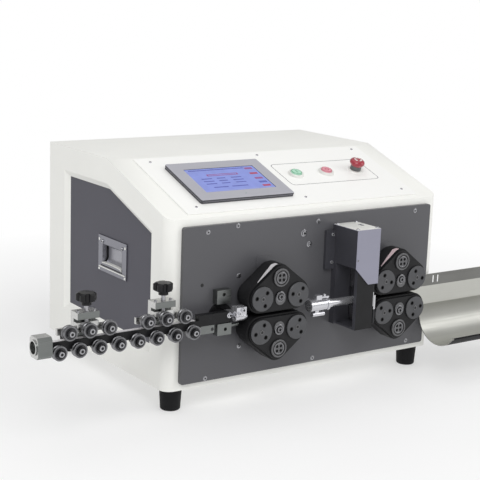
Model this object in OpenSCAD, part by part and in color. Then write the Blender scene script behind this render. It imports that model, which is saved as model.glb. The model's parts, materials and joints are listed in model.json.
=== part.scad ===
// Bench wire cutting and stripping machine. Millimetres, Z up, X along the wire, Y to the back.
// The wire runs through straightener, inlet guide, belts, guide tube, blades, belts and tray.

/* [Cabinet] */
// Width of the cabinet
body_w = 600; // [560:5:700]
// Depth of the cabinet
body_d = 445; // [380:5:550]
// Height of the cabinet above its feet
body_h = 370; // [340:5:450]
// Height of the cabinet's front under the sloped face
front_h = 295; // [285:5:340]
// Depth of the flat top
top_d = 232; // [180:2:260]
// Radius of the upright front corners
corner_r = 20; // [8:1:25]
// Thickness of the cabinet's sheet
sheet_t = 3; // [2:0.5:4]
// Height of the feet
foot_h = 41; // [20:1:50]
// Diameter of the feet at the top
foot_d = 40; // [30:1:50]
// Distance of each foot's axis from the cabinet's sides
foot_in = 30; // [26:1:60]

/* [Front plate] */
// Gap between the front plate and the cabinet's sides
plate_side = 26; // [22:1:40]
// Gap between the front plate and the cabinet's bottom
plate_low = 12; // [8:1:20]
// Gap between the front plate and the top of the front
plate_top = 12; // [8:1:20]
// Thickness of the front plate
plate_t = 8; // [6:0.5:10]
// Radius of the front plate's corners
plate_r = 5; // [2:0.5:10]

/* [Side and rear panels] */
// Distance of the side opening from the cabinet's front
side_front = 53; // [40:1:80]
// Distance of the side opening from the cabinet's back
side_back = 65; // [50:1:90]
// Distance of the side opening from the cabinet's bottom
side_low = 58; // [40:1:80]
// Distance of the side opening from the top and the slope
side_top = 45; // [35:1:60]
// Width of the bevel around the side opening
bevel_w = 11; // [5:0.5:14]
// Depth of the bevel around the side opening
bevel_d = 8; // [5:0.5:12]
// Thickness of the side and rear panels
panel_t = 2; // [1.5:0.5:3]
// Width of the recessed handle's plate
handle_w = 104; // [90:1:130]
// Height of the recessed handle's plate
handle_h = 66; // [56:1:80]
// Depth of the recessed handle's pocket
handle_d = 26; // [20:1:35]
// Height of the recessed handle's middle above the cabinet's bottom
handle_z = 193; // [170:1:220]
// Number of vent slots in the rear panel
vent_n = 9; // [4:1:12]

/* [Control face] */
// Width of the white control plate
panel_w = 510; // [490:2:540]
// Thickness of the white control plate
panel_thick = 2; // [1:0.5:3]
// Width of the touch panel
hmi_w = 196; // [180:1:210]
// Height of the touch panel along the slope
hmi_h = 132; // [120:1:140]
// Height of the touch panel's bezel above the control plate
hmi_up = 5; // [4:0.5:10]
// Distance of the touch panel's middle from the cabinet's middle
hmi_x = 115; // [105:1:140]
// Screen width
screen_w = 148; // [130:1:156]
// Screen height
screen_h = 83; // [76:1:92]
// Distance from one push button to the next
button_pitch = 71; // [60:1:75]
// Diameter of the flat push buttons
button_d = 21; // [18:0.5:22]
// Diameter of the emergency stop's head
stop_d = 29; // [28:1:40]
// Travel of the push buttons
button_travel = 3; // [2:0.5:4]

/* [Wire line] */
// Height of the wire above the cabinet's bottom
wire_h = 131; // [126:1:136]
// Distance of the wire in front of the cabinet
wire_out = 47; // [44:0.5:50]

/* [Belt feeds] */
// Distance of the left belt feed from the cabinet's middle
left_feed = 110.5; // [108:0.5:120]
// Distance of the right belt feed from the cabinet's middle
right_feed = 162.5; // [160:0.5:175]
// Distance between the two end pulleys of a belt
belt_pitch = 75; // [70:0.5:78]
// Radius of the end pulleys under the belt
end_r = 20; // [18:0.5:22]
// Radius of the drive pulley under the belt
drive_r = 16.5; // [14:0.5:18]
// Height of the drive pulley's axis above the end pulleys' axes
drive_rise = 33.5; // [32:0.5:38]
// Thickness of the belts
belt_t = 6.5; // [5:0.5:7]
// Width of the belts
belt_w = 28; // [24:1:30]
// Gap between the upper and the lower belt
belt_gap = 5; // [1:0.2:6]
// Lift of the upper belts
lift = 15; // [8:1:18]

/* [Blade head] */
// Distance of the blade head's slides from the cabinet's middle
head_x = 80; // [78:0.5:82]
// Height of the blade head above the wire
head_up = 132; // [120:1:140]
// Travel of each blade towards the wire
blade_travel = 11; // [6:0.5:12]
// Thickness of the blades
blade_t = 4; // [2.5:0.5:4]
// Width of the light cover
cover_w = 53; // [52:0.5:54]
// Thickness of the cover's sheet
cover_t = 1.5; // [1:0.5:2]

/* [Guide tube] */
// Distance of the tube's pivot from the cabinet's middle, to the left
pivot_x = 24; // [20:0.5:26]
// Radius of the guide tube
tube_r = 7; // [6:0.5:8]
// Radius of the wire's passage in the tubes
tube_bore = 3.2; // [2:0.1:3.5]

/* [Straightener] */
// Distance of the middle of the lower rollers from the middle of the left feed
rollers_x = 286.5; // [280:0.5:295]
// Distance from one roller to the next
roller_pitch = 34.6; // [32:0.2:35]
// Radius of the rollers
roller_r = 12; // [10:0.5:12.5]
// Width of the rollers
roller_w = 10; // [8:0.5:11]
// Gap between the upper and the lower rollers
roller_gap = 5.5; // [4:0.5:7]
// Height of the bar that holds the rollers
bar_h = 14; // [12:1:16]
// Thickness of the bar
bar_t = 12; // [10:0.5:14]
// Radius of the star knobs
knob_r = 17; // [14:0.5:20]
// Number of lobes on a star knob
knob_n = 5; // [5:1:7]
// Inner radius of the inlet eye
eye_r = 10; // [8:0.5:12]

/* [Wire tray] */
// Length of the tray's trough
tray_len = 306; // [250:2:450]
// Inner radius of the trough
tray_r = 52; // [46:1:56]
// Thickness of the tray's sheet
tray_t = 1.5; // [1:0.5:2]

/* [Fits] */
// Radial clearance of a running fit
run = 0.08; // [0.05:0.01:0.1]
// Clearance beside parts that slide or turn
free = 0.5; // [0.4:0.1:0.8]

/* [Hidden] */
$fn = 64;

// cabinet
half_w = body_w / 2;
knee_y = body_d - top_d;
slope = (body_h - front_h) / knee_y;
tilt = atan(slope);
slope_len = knee_y / cos(tilt);
lap = 15;
plate_x = half_w - plate_side;
plate_z0 = plate_low;
plate_z1 = front_h - plate_top;
back_r = 4;
foot_taper = 2.5;
rear_side = 34;
rear_low = 34;
rear_top = 44;
rear_lap = 12;
vent_x = 60;
vent_len = 140;
vent_h = 6;
vent_pitch = 14;
vent_top = 14;
handle_y = (side_front + body_d - side_back) / 2 - 16;
inlet_x = -190;
inlet_z = 66;
inlet_w = 50;
inlet_h = 28;
inlet_up = 3;
inlet_deep = 24;
inlet_wall = 2;
socket_w = 24;
socket_h = 17;
well_w = socket_w + 2 * inlet_wall;
well_h = socket_h + 2 * inlet_wall;
contact_pitch = 7;
contact_rise = 2;
contact_t = 2;
pocket_side = 16;
pocket_edge = 15;
pocket_t = 1.5;
rim_t = 2;

// control face
panel_edge = 13;
panel_v0 = panel_edge;
panel_v1 = slope_len - panel_edge;
face_v = slope_len / 2 - 6;
button_v = slope_len / 2 + 4;
button_x = 40;
window_x = panel_w / 2 - 28;
window_v = 24;
hole_r = 11.2;
stem_r = 10.6;
collar_r = 15;
collar_up = 1.5;
bezel_r = 4;
bezel_cut = 1.5;
hmi_in = 8;
hmi_deep = 34;
screen_in = 0.8;
stem_len = 24;
cap_t = 2;
cap_cut = 0.8;
cap_gap = 0.3;

// wire line
wire_y = -wire_out;
wire_z = foot_h + wire_h;

// belt feeds, heights from the wire
end_up = belt_gap / 2 + belt_t + end_r;
drive_up = end_up + drive_rise;
slip = 0.3;
belt_y1 = wire_y + belt_w / 2 + 6;
belt_y0 = belt_y1 - belt_w;
cheek_t = 4;
back_t = 8;
cheek_y0 = belt_y0 - free - cheek_t;
back_y1 = belt_y1 + free + back_t;
disc_t = 3;
disc_y0 = cheek_y0 - free - disc_t;
disc_r = end_r + 1.5;
cap_r = drive_r - 0.5;
disc_in = 0.6;
disc_cut = 0.8;
disc_hub = 4.5;
hole_at = disc_r * 0.6;
disc_hole_r = 3.2;
cap_rim = 3;
petal_at = 5.6;
petal_r = 2.6;
journal_r = 9;
shaft_r = 6;
core_x = 12;
core_z0 = end_up - 14;
core_z1 = end_up + 11;
cheek_in = 3;
boss_r = 10.5;
boss_t = 2;
slide_t = 16;
slide_x = 44;
slide_gap = 3;
rod_x0 = 36;
rod_r = 5;
motor_s = 56;
motor_len = 56;
slide_z0 = 8;
slide_z1 = drive_up + motor_s / 2 + 3;
stop_gap = 0.2;
rail_end = 14;
shaft_in = 24;
swing_s = 42;
swing_len = 48;

// power supply and drivers on the floor of the cabinet
inner_back = 50;
inner_y = body_d - inner_back;
supply_x = -250;
supply_w = 160;
supply_d = 100;
supply_h = 52;
base_x = -60;
base_w = 290;
base_d = 120;
base_t = 4;
drivers = 4;
driver_edge = 10;
driver_pitch = 68;
driver_w = 50;
driver_d = 90;
driver_h = 42;

// blade head, x from head_x and heights from the wire
rail_x0 = -34;
rail_x1 = 5;
rail_t = 8;
head_y0 = wire_y - 28;
win_y0 = head_y0 + rail_t;
win_y1 = wire_y + 25.5;
head_low = 49;
low_t = 4;
groove_x0 = -5.5;
groove_x1 = 0.5;
groove_d = 4;
hold_x0 = groove_x0 + free;
hold_x1 = rail_x1 + 1;
hold_z0 = 17;
hold_top = 88;
hold_low = 43;
arm_x = 4;
arm_z0 = 33;
arm_z1 = 43;
nut_s = 13;
nut_z0 = 28;
nut_z1 = 50;
screw_r = 6;
screw_y = 34;
screw_end = 66;
blade_y0 = head_y0 + 4;
blade_y1 = win_y1 - 2;
prong = 6;
prong_tip = 10;
notch = 10;
blade_top = 42;
seat_z0 = prong_tip + 2 * blade_travel + 1;
seat_y = 12;
land = 0.6;
grind_a = 35;
cover_x0 = rail_x0 - 6;
cover_low = 33;
chamfer_z = 64;
chamfer_x = 30;
flange_x = 19;
flange_t = 6;
slot_w = 6;
slot_len = 14;
slot_y = 3;

// inlet guide
guide_r = 7;
guide_out = 24;
nose_len = 8;
nose_r = 5;
stem_w = 10;
clamp_len = 20;
clamp_y = 8;
clamp_up = 18;
clamp_gap = 1;
shoe_len = 28;
shoe_h = 20;
shoe_pin_r = 3;
shoe_pin_out = 16;
lug_w = 28;
lug_t = 14;
lug_z = 18;
lug_h = 24;
lug_hole_r = 3;
lug_hole_in = 8;

// guide tube, x from the pivot
sleeve_r = 10.5;
sleeve_x0 = -14;
sleeve_x1 = 23;
collar_t = 3;
neck_x = 35;
tube_x = 96;
pivot_r = 7;
pivot_y1 = 30;
pin_r = 4;
pin_drop = 17;

// straightener
lower_z = wire_z - roller_gap / 2 - roller_r;
upper_z = wire_z + roller_gap / 2 + roller_r;
roller_y0 = wire_y - roller_w / 2;
roller_y1 = wire_y + roller_w / 2;
bar_y0 = roller_y1 + free;
bar_y1 = bar_y0 + bar_t;
bar_z1 = wire_z + 1;
bar_z0 = bar_z1 - bar_h;
rollers_mid = -left_feed - rollers_x;
bar_x0 = rollers_mid - 3.5 * roller_pitch - 18;
axle_r = 5;
axle_head_r = 6.8;
axle_head_t = 3;
arm_back = 151.5;
guide_back = 85.5;
arm_x0 = -left_feed - arm_back;
arm_x1 = -left_feed - guide_back;
arm_hz = 9.5;
flange_at = arm_x1 - 4;
flange_drop = 6;
flange_r = 23;
flange_h = 5;
arm_post_r = 8;
eye_len = 24;
eye_y = 15;
eye_z = 17;
eye_cut = 5;
end_in = 4;
end_w = 27;
end_t = 5;
end_h = 14;
end_hole_r = 3;
end_z = wire_z - arm_hz - end_h / 2;
eye_rim = 2.5;
eye_lip = 2;
left_knob_x = rollers_mid - 2 * roller_pitch;
right_knob_x = rollers_mid + 2 * roller_pitch;
carrier_z0 = bar_z1 + 8;
carrier_z1 = upper_z + 12;
carrier_step = carrier_z1 - 7;
roller_boss_r = 8;
roller_boss_t = 6;
carrier_x = roller_pitch + 15;
bridge_x = 19;
bridge_z0 = carrier_z1 + 5;
bridge_z1 = bridge_z0 + 11;
post_y0 = bar_y1;
post_y1 = bar_y1 + 10;
screw_y0 = (bar_y0 + bar_y1) / 2;
stem_knob_r = 3.5;
knob_z0 = bridge_z1 + 10;
knob_t = 13;
hub_t = 8;
hub_r = 8;
hub_taper = 4;
dome_h = 4;
lobe_r = 5;
groove_in = 2.5;

// wire tray, y from the cabinet's front
tray_in = 40;
tab_in = 68;
tray_drop = 56;
tray_x0 = half_w - tray_in;
tray_x1 = tray_x0 + tray_len;
tab_x0 = half_w - tab_in;
crease_a = 17;
lip_a = -145;
tray_wall_y = -plate_t;
crease_y = tray_wall_y - tray_t - 4.5;
tray_cy = crease_y - tray_r * cos(crease_a);
tray_cz = wire_z - tray_drop;
crease_z = tray_cz + tray_r * sin(crease_a);
bend_z = crease_z + 34;
wall_z = bend_z + 22;
hem_r = 2.5;
hook_in = 7;
hook_pitch = 12;
hook_w = 4;
hook_len = 14;
hook_drop = 4;

// the origin is the middle of the whole machine's outline, on the floor
min_x = bar_x0 - eye_len - eye_lip;
min_y = tray_cy + (tray_r + tray_t / 2) * cos(lip_a) - hem_r;
max_y = body_d + panel_t + inlet_up;
shift_x = -(min_x + tray_x1) / 2;
shift_y = -(min_y + max_y) / 2;

function slope_z(y) = front_h + y * slope;
function lower_x(i) = rollers_mid + (i - 3.5) * roller_pitch;

module placed() {
    translate([shift_x, shift_y, 0]) children();
}

module box(x, y, z) {
    translate([x[0], y[0], z[0]]) cube([x[1] - x[0], y[1] - y[0], z[1] - z[0]]);
}

module rod_x(r, x0, x1) {
    translate([x0, 0, 0]) rotate([0, 90, 0]) cylinder(r = r, h = x1 - x0);
}

module rod_y(r, y0, y1) {
    translate([0, y0, 0]) rotate([-90, 0, 0]) cylinder(r = r, h = y1 - y0);
}

module plate_y(y0, y1) {
    translate([0, y1, 0]) rotate([90, 0, 0]) linear_extrude(height = y1 - y0) children();
}

module prism_x(x0, x1) {
    translate([x0, 0, 0]) rotate([90, 0, 90]) linear_extrude(height = x1 - x0) children();
}

module on_slope() {
    translate([0, 0, foot_h + front_h]) rotate([tilt, 0, 0]) children();
}

// cabinet side view, drawn in by the wall's thickness
module side_outline(t) {
    drop = t / cos(tilt);
    polygon([[t, t], [body_d - t, t], [body_d - t, body_h - t],
        [knee_y + (drop - t) / slope, body_h - t], [t, slope_z(t) - drop]]);
}

module plan_outline(t) {
    for (s = [-1, 1]) {
        translate([s * (half_w - corner_r), corner_r]) circle(r = corner_r - t);
        translate([s * (half_w - back_r), body_d - back_r]) circle(r = back_r - min(t, back_r - 0.5));
    }
    translate([-half_w + corner_r, t]) square([body_w - 2 * corner_r, body_d - 2 * t]);
    translate([-half_w + t, corner_r]) square([body_w - 2 * t, body_d - corner_r - back_r]);
    translate([-half_w + back_r, corner_r]) square([body_w - 2 * back_r, body_d - corner_r - t]);
}

module cabinet_block(t) {
    intersection() {
        prism_x(-half_w, half_w) side_outline(t);
        linear_extrude(height = body_h) plan_outline(t);
    }
}

// outline of the side opening, drawn in by e
module side_opening(e) {
    drop = e / cos(tilt);
    y0 = side_front + e;
    polygon([[y0, side_low + e], [body_d - side_back - e, side_low + e],
        [body_d - side_back - e, body_h - side_top - e],
        [knee_y + (drop - e) / slope, body_h - side_top - e], [y0, slope_z(y0) - side_top - drop]]);
}

module side_cut() {
    hull() {
        prism_x(half_w - 0.02, half_w + 0.02) side_opening(0);
        prism_x(half_w - bevel_d - 0.02, half_w - bevel_d) side_opening(bevel_w);
    }
}

module housing_shell() {
    color("Gainsboro") translate([0, 0, foot_h]) difference() {
        union() {
            difference() {
                cabinet_block(0);
                cabinet_block(sheet_t);
            }
            for (s = [0, 1]) mirror([s, 0, 0])
                prism_x(half_w - bevel_d, half_w - sheet_t / 2) side_opening(-4);
        }
        for (s = [0, 1]) mirror([s, 0, 0]) side_cut();
        box([-plate_x + lap, plate_x - lap], [-1, sheet_t + 1], [plate_z0 + lap, plate_z1 - lap]);
        box([-half_w + rear_side, half_w - rear_side], [body_d - sheet_t - 1, body_d + 1],
            [rear_low, body_h - rear_top]);
        translate([0, 0, -foot_h]) on_slope()
            box([-window_x, window_x], [window_v, slope_len - window_v], [-sheet_t - 2, 1]);
    }
}

module front_outline() {
    w = plate_x - plate_r;
    h = plate_z1 - plate_z0 - 2 * plate_r;
    translate([-w, plate_z0]) square([2 * w, h + 2 * plate_r]);
    translate([-plate_x, plate_z0 + plate_r]) square([2 * plate_x, h]);
    for (x = [-w, w]) for (z = [plate_z0 + plate_r, plate_z1 - plate_r]) translate([x, z])
        circle(r = plate_r);
}

module front_plate() {
    color("DimGray") difference() {
        translate([0, 0, foot_h]) plate_y(-plate_t, 0) front_outline();
        for (x = [-left_feed, right_feed]) translate([x, 0, wire_z]) {
            box([-core_x - 1, core_x + 1], [-plate_t - 1, 1], [core_z0 - 1, drive_up + shaft_r + lift + 3]);
            translate([0, 0, -drive_up]) rod_y(shaft_r + 1, -plate_t - 1, 1);
        }
        translate([head_x, 0, wire_z]) for (s = [-1, 1])
            box([-arm_x - 1, arm_x + 1], [-plate_t - 1, 1], s > 0
                ? [arm_z0 - blade_travel - 1, arm_z1 + 1] : [-arm_z1 - 1, blade_travel + 1 - arm_z0]);
        translate([-pivot_x, 0, wire_z]) rod_y(pivot_r + run, -plate_t - 1, 1);
    }
}

// mains inlet on the rear panel, with its three contact blades
module mains_inlet() {
    well = inlet_deep - inlet_wall;
    translate([inlet_x, body_d + panel_t, inlet_z]) {
        difference() {
            union() {
                box([-inlet_w / 2, inlet_w / 2], [0, inlet_up], [-inlet_h / 2, inlet_h / 2]);
                box([-well_w / 2, well_w / 2], [-inlet_deep, 1], [-well_h / 2, well_h / 2]);
            }
            box([-socket_w / 2, socket_w / 2], [-well, inlet_up + 1], [-socket_h / 2, socket_h / 2]);
        }
        for (i = [-1 : 1]) translate([i * contact_pitch, 0, i == 0 ? contact_rise : -contact_rise])
            box([-contact_t / 2, contact_t / 2], [-well - 1, -inlet_wall], [-contact_t, contact_t]);
    }
}

module access_panels() {
    color("DimGray") translate([0, 0, foot_h]) {
        for (s = [0, 1]) mirror([s, 0, 0]) difference() {
            prism_x(half_w - bevel_d - panel_t, half_w - bevel_d) side_opening(-2);
            translate([0, handle_y, handle_z]) box([half_w - bevel_d - panel_t - 1, half_w],
                [-handle_w / 2 + pocket_side - pocket_t - free, handle_w / 2 - pocket_side + pocket_t + free],
                [-handle_h / 2 + pocket_edge - pocket_t - free, handle_h / 2 - pocket_edge + pocket_t + free]);
        }
        difference() {
            box([-half_w + rear_side - rear_lap, half_w - rear_side + rear_lap], [body_d, body_d + panel_t],
                [rear_low - rear_lap, body_h - rear_top + rear_lap]);
            for (i = [0 : vent_n - 1]) translate([0, 0, body_h - rear_top - vent_top - vent_pitch * i])
                box([vent_x, vent_x + vent_len], [body_d - 1, body_d + panel_t + 1], [-vent_h, 0]);
            translate([inlet_x, 0, inlet_z])
                box([-well_w / 2 - free, well_w / 2 + free], [body_d - 1, body_d + panel_t + 1],
                    [-well_h / 2 - free, well_h / 2 + free]);
        }
        mains_inlet();
    }
}

module handles() {
    in_x = half_w - bevel_d;
    pocket_y = handle_w / 2 - pocket_side;
    pocket_z = handle_h / 2 - pocket_edge;
    color("Silver") translate([0, handle_y, foot_h + handle_z]) for (s = [0, 1]) mirror([s, 0, 0])
    difference() {
        union() {
            box([in_x, in_x + rim_t], [-handle_w / 2, handle_w / 2], [-handle_h / 2, handle_h / 2]);
            box([in_x - handle_d, in_x + rim_t / 2], [-pocket_y - pocket_t, pocket_y + pocket_t],
                [-pocket_z - pocket_t, pocket_z + pocket_t]);
        }
        box([in_x - handle_d + pocket_t, in_x + rim_t + 1], [-pocket_y, pocket_y], [-pocket_z, pocket_z]);
    }
}

module feet() {
    color("Black") for (x = [-half_w + foot_in, half_w - foot_in]) for (y = [foot_in, body_d - foot_in])
        translate([x, y, 0]) {
            cylinder(r1 = foot_d / 2 - foot_taper - 2, r2 = foot_d / 2 - foot_taper, h = 2);
            translate([0, 0, 2]) cylinder(r1 = foot_d / 2 - foot_taper, r2 = foot_d / 2, h = foot_h - 2);
        }
}

module control_plate() {
    color("WhiteSmoke") on_slope() difference() {
        union() {
            box([-panel_w / 2, panel_w / 2], [panel_v0, panel_v1], [0, panel_thick]);
            for (i = [0 : 2]) translate([button_x + i * button_pitch, button_v, 0])
                cylinder(r = collar_r, h = panel_thick + collar_up);
        }
        for (i = [0 : 2]) translate([button_x + i * button_pitch, button_v, -1])
            cylinder(r = hole_r, h = panel_thick + collar_up + 2);
        translate([-hmi_x, face_v, 0]) box([-hmi_w / 2 + hmi_in, hmi_w / 2 - hmi_in],
            [-hmi_h / 2 + hmi_in, hmi_h / 2 - hmi_in], [-1, panel_thick + 1]);
    }
}

module hmi_outline(r) {
    w = hmi_w / 2 - r;
    h = hmi_h / 2 - r;
    square([2 * w, 2 * h + 2 * r], center = true);
    square([2 * w + 2 * r, 2 * h], center = true);
    for (x = [-w, w]) for (y = [-h, h]) translate([x, y]) circle(r = r);
}

// bezel side view, half its width given
module bevelled(w) {
    polygon([[-w, 0], [w, 0], [w, hmi_up - bezel_cut], [w - bezel_cut, hmi_up], [bezel_cut - w, hmi_up],
        [-w, hmi_up - bezel_cut]]);
}

module touch_panel() {
    color("LightSteelBlue") on_slope() translate([-hmi_x, face_v, panel_thick]) difference() {
        union() {
            intersection() {
                linear_extrude(height = hmi_up) hmi_outline(bezel_r);
                prism_x(-hmi_w / 2, hmi_w / 2) bevelled(hmi_h / 2);
                rotate([0, 0, 90]) prism_x(-hmi_h / 2, hmi_h / 2) bevelled(hmi_w / 2);
            }
            box([-hmi_w / 2 + hmi_in + 1, hmi_w / 2 - hmi_in - 1],
                [-hmi_h / 2 + hmi_in + 1, hmi_h / 2 - hmi_in - 1],
                [-hmi_deep, 1]);
        }
        box([-screen_w / 2, screen_w / 2], [-screen_h / 2, screen_h / 2], [hmi_up - screen_in, hmi_up + 1]);
    }
}

// a flat button in its collar, from the control plate's face
module flat_button(i) {
    on_slope() translate([button_x + i * button_pitch, button_v, panel_thick]) {
        translate([0, 0, -stem_len])
            cylinder(r = stem_r, h = stem_len + collar_up + button_travel + cap_gap + 1);
        translate([0, 0, collar_up + button_travel + cap_gap]) {
            cylinder(r = button_d / 2, h = cap_t - cap_cut);
            translate([0, 0, cap_t - cap_cut])
                cylinder(r1 = button_d / 2, r2 = button_d / 2 - cap_cut, h = cap_cut);
        }
    }
}

module start_button() {
    color("LimeGreen") flat_button(0);
}

module stop_button() {
    color("Red") flat_button(1);
}

module emergency_stop() {
    color("Red") on_slope() translate([button_x + 2 * button_pitch, button_v, panel_thick]) {
        translate([0, 0, -stem_len]) cylinder(r = stem_r, h = stem_len + collar_up + button_travel + 6);
        translate([0, 0, collar_up + button_travel + 5 * cap_gap]) rotate_extrude()
            polygon([[0, 0], [stop_d / 2 - 6, 0], [stop_d / 2 - 4, 4], [stop_d / 2, 9.5], [stop_d / 2, 12.5],
                [stop_d / 2 - 1.5, 15], [stop_d / 2 - 5, 17], [0, 18]]);
    }
}

// rollers, with a round groove for the wire
module roller(x, z) {
    translate([x, wire_y, z]) rotate([-90, 0, 0]) translate([0, 0, -roller_w / 2]) rotate_extrude()
        difference() {
            translate([axle_r + run, 0]) square([roller_r - axle_r - run, roller_w]);
            translate([roller_r + 1, roller_w / 2]) circle(r = groove_in);
        }
}

// axle with a head in front of the roller, from the holder's face
module axle(x, z, y_back) {
    translate([x, 0, z]) {
        rod_y(axle_r, roller_y0 - 0.5, y_back);
        rod_y(axle_head_r, roller_y0 - free - axle_head_t, roller_y0 - free);
    }
}

module straightener_bar() {
    color("Black") {
        box([bar_x0, arm_x0 + 1], [bar_y0, bar_y1], [bar_z0, bar_z1]);
        box([arm_x0, arm_x1 - arm_hz], [bar_y0, bar_y1], [wire_z - arm_hz, wire_z + arm_hz]);
        translate([arm_x1 - arm_hz, 0, wire_z]) rod_y(arm_hz, bar_y0, bar_y1);
        translate([arm_x1 - arm_hz, 0, wire_z]) rod_y(arm_post_r, bar_y1 - 1, -plate_t - 1);
        translate([flange_at, 0, wire_z - flange_drop]) rod_y(flange_r, -plate_t - flange_h, -plate_t);
        for (i = [0 : 7]) {
            translate([lower_x(i), 0, lower_z]) rod_y(roller_boss_r, bar_y0, bar_y1);
            axle(lower_x(i), lower_z, bar_y0 + 1);
        }
    }
}

// block around the inlet eye, with its corners cut
module eye_outline() {
    y = eye_y - eye_cut;
    z = eye_z - eye_cut;
    polygon([[-y, -eye_z], [y, -eye_z], [eye_y, -z], [eye_y, z],
        [y, eye_z], [-y, eye_z], [-eye_y, z], [-eye_y, -z]]);
}

module straightener_blocks() {
    color("Silver") {
        translate([0, wire_y, wire_z]) difference() {
            union() {
                prism_x(bar_x0 - eye_len, bar_x0) eye_outline();
                rod_x(eye_r + eye_rim, min_x, bar_x0 - eye_len + 1);
            }
            rod_x(eye_r, min_x - 1, bar_x0 + 1);
        }
        difference() {
            box([arm_x0 + end_in, arm_x0 + end_in + end_w], [bar_y0, bar_y0 + end_t],
                [end_z - end_h / 2, end_z + end_h / 2]);
            translate([arm_x0 + end_w, 0, end_z]) rod_y(end_hole_r, bar_y0 - 1, bar_y0 + end_t + 1);
        }
        for (x = [left_knob_x, right_knob_x]) translate([x, 0, 0]) difference() {
            union() {
                box([-bridge_x, bridge_x], [post_y0, post_y1], [bar_z0 + 4, bridge_z1]);
                box([-bridge_x, bridge_x], [bar_y0 - 2, post_y1], [bridge_z0, bridge_z1]);
            }
            translate([0, screw_y0, bridge_z0 - 1])
                cylinder(r = stem_knob_r + free, h = bridge_z1 - bridge_z0 + 2);
        }
    }
}

module roller_carrier(x) {
    color("Silver") {
        box([x - carrier_x, x + carrier_x], [bar_y0 + roller_boss_t, bar_y1 - slip],
            [carrier_z0, carrier_step]);
        box([x - bridge_x, x + bridge_x], [bar_y0, bar_y1 - slip], [carrier_step - 1, carrier_z1]);
        for (i = [-1 : 1]) {
            translate([x + i * roller_pitch, 0, upper_z])
                rod_y(roller_boss_r, bar_y0, bar_y0 + roller_boss_t + 1);
            axle(x + i * roller_pitch, upper_z, bar_y0 + 1);
        }
    }
}

module left_roller_carrier() {
    roller_carrier(left_knob_x);
}

module right_roller_carrier() {
    roller_carrier(right_knob_x);
}

module star_knob(x) {
    color("Black") translate([x, screw_y0, 0]) {
        translate([0, 0, carrier_z1 + run]) cylinder(r = stem_knob_r, h = knob_z0 - carrier_z1 + 1);
        translate([0, 0, knob_z0]) intersection() {
            linear_extrude(height = hub_t + knob_t) star_outline();
            rotate_extrude() polygon([[0, 0], [hub_r, 0], [hub_r, hub_t - hub_taper], [knob_r, hub_t],
                [knob_r, hub_t + knob_t - dome_h], [knob_r - dome_h, hub_t + knob_t - dome_h / 4],
                [0, hub_t + knob_t]]);
        }
    }
}

module star_outline() {
    circle(r = knob_r - lobe_r - 1);
    for (i = [0 : knob_n - 1]) rotate(i * 360 / knob_n) translate([knob_r - lobe_r, 0]) circle(r = lobe_r);
}

module left_knob() {
    star_knob(left_knob_x);
}

module right_knob() {
    star_knob(right_knob_x);
}

module inlet_guide() {
    tip = arm_x1 + guide_out;
    color("Silver") difference() {
        union() {
            translate([0, wire_y, wire_z]) {
                rod_x(guide_r, arm_x1, tip - nose_len);
                translate([tip - nose_len, 0, 0]) rotate([0, 90, 0])
                    cylinder(r1 = guide_r, r2 = nose_r, h = nose_len);
            }
            box([arm_x1, arm_x1 + clamp_len], [wire_y - clamp_y, wire_y + clamp_y],
                [wire_z + 4, wire_z + clamp_up]);
            box([arm_x1 + 4, arm_x1 + 4 + stem_w], [wire_y, -plate_t - flange_h],
                [wire_z - stem_w / 2, wire_z + stem_w / 2]);
            box([flange_at - lug_w / 2, flange_at + lug_w / 2], [-plate_t - lug_t, -plate_t],
                [wire_z + lug_z, wire_z + lug_z + lug_h]);
        }
        translate([0, wire_y, wire_z]) rod_x(tube_bore, arm_x1 - 1, tip + 1);
        translate([flange_at, 0, wire_z + lug_z + lug_h - lug_hole_in])
            rod_y(lug_hole_r, -plate_t - lug_t - 1, -plate_t - lug_t / 2);
        translate([0, wire_y, wire_z + clamp_up])
            box([arm_x1 + 4, arm_x1 + clamp_len + 1], [-clamp_gap, clamp_gap], [-8, 1]);
    }
    color("Silver") {
        difference() {
            box([arm_x1 - shoe_len - 2, arm_x1 - 2], [bar_y0 - 2, bar_y1],
                [wire_z - arm_hz - shoe_h, wire_z - arm_hz]);
            translate([arm_x1 - shoe_len / 2, 0, wire_z - arm_hz - shoe_h / 2])
                rod_y(lug_hole_r, bar_y0 - 3, bar_y0 + 6);
        }
        translate([0, screw_y0, wire_z - arm_hz - shoe_h / 3])
            rod_x(shoe_pin_r, arm_x1 - 3, arm_x1 + shoe_pin_out);
    }
}

module guide_tube() {
    color("Silver") translate([-pivot_x, wire_y, wire_z]) difference() {
        union() {
            rod_x(sleeve_r, sleeve_x0, sleeve_x1);
            rod_x(sleeve_r + 1.5, sleeve_x1 - 1, sleeve_x1 + collar_t);
            rod_x(tube_r + 1, sleeve_x1, neck_x);
            rod_x(tube_r, sleeve_x1, tube_x);
            rod_y(pivot_r, sleeve_r - 4, -wire_y + pivot_y1);
            box([0, 12], [-4, 4], [sleeve_r - 2, sleeve_r + 7]);
            box([8, 28], [-3, 3], [sleeve_r + 1, sleeve_r + 4]);
            box([-1, 7], [-3, 3], [-pin_drop, -sleeve_r + 2]);
            translate([0, 0, -pin_drop]) rod_x(pin_r, -6, 20);
        }
        rod_x(tube_bore, sleeve_x0 - 1, tube_x + 1);
    }
}

// belt feed, drawn as an upper unit with its middle over the wire's point
module unit_outline(grow) {
    hull() {
        for (s = [-1, 1]) translate([s * belt_pitch / 2, end_up]) circle(r = end_r + grow, $fn = 72);
        translate([0, drive_up]) circle(r = drive_r + grow, $fn = 72);
    }
}

module unit_at(x, up) {
    translate([x, 0, wire_z]) mirror([0, 0, up ? 0 : 1]) children();
}

module belt() {
    plate_y(belt_y0, belt_y1) difference() {
        unit_outline(belt_t);
        unit_outline(0);
    }
}

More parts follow.
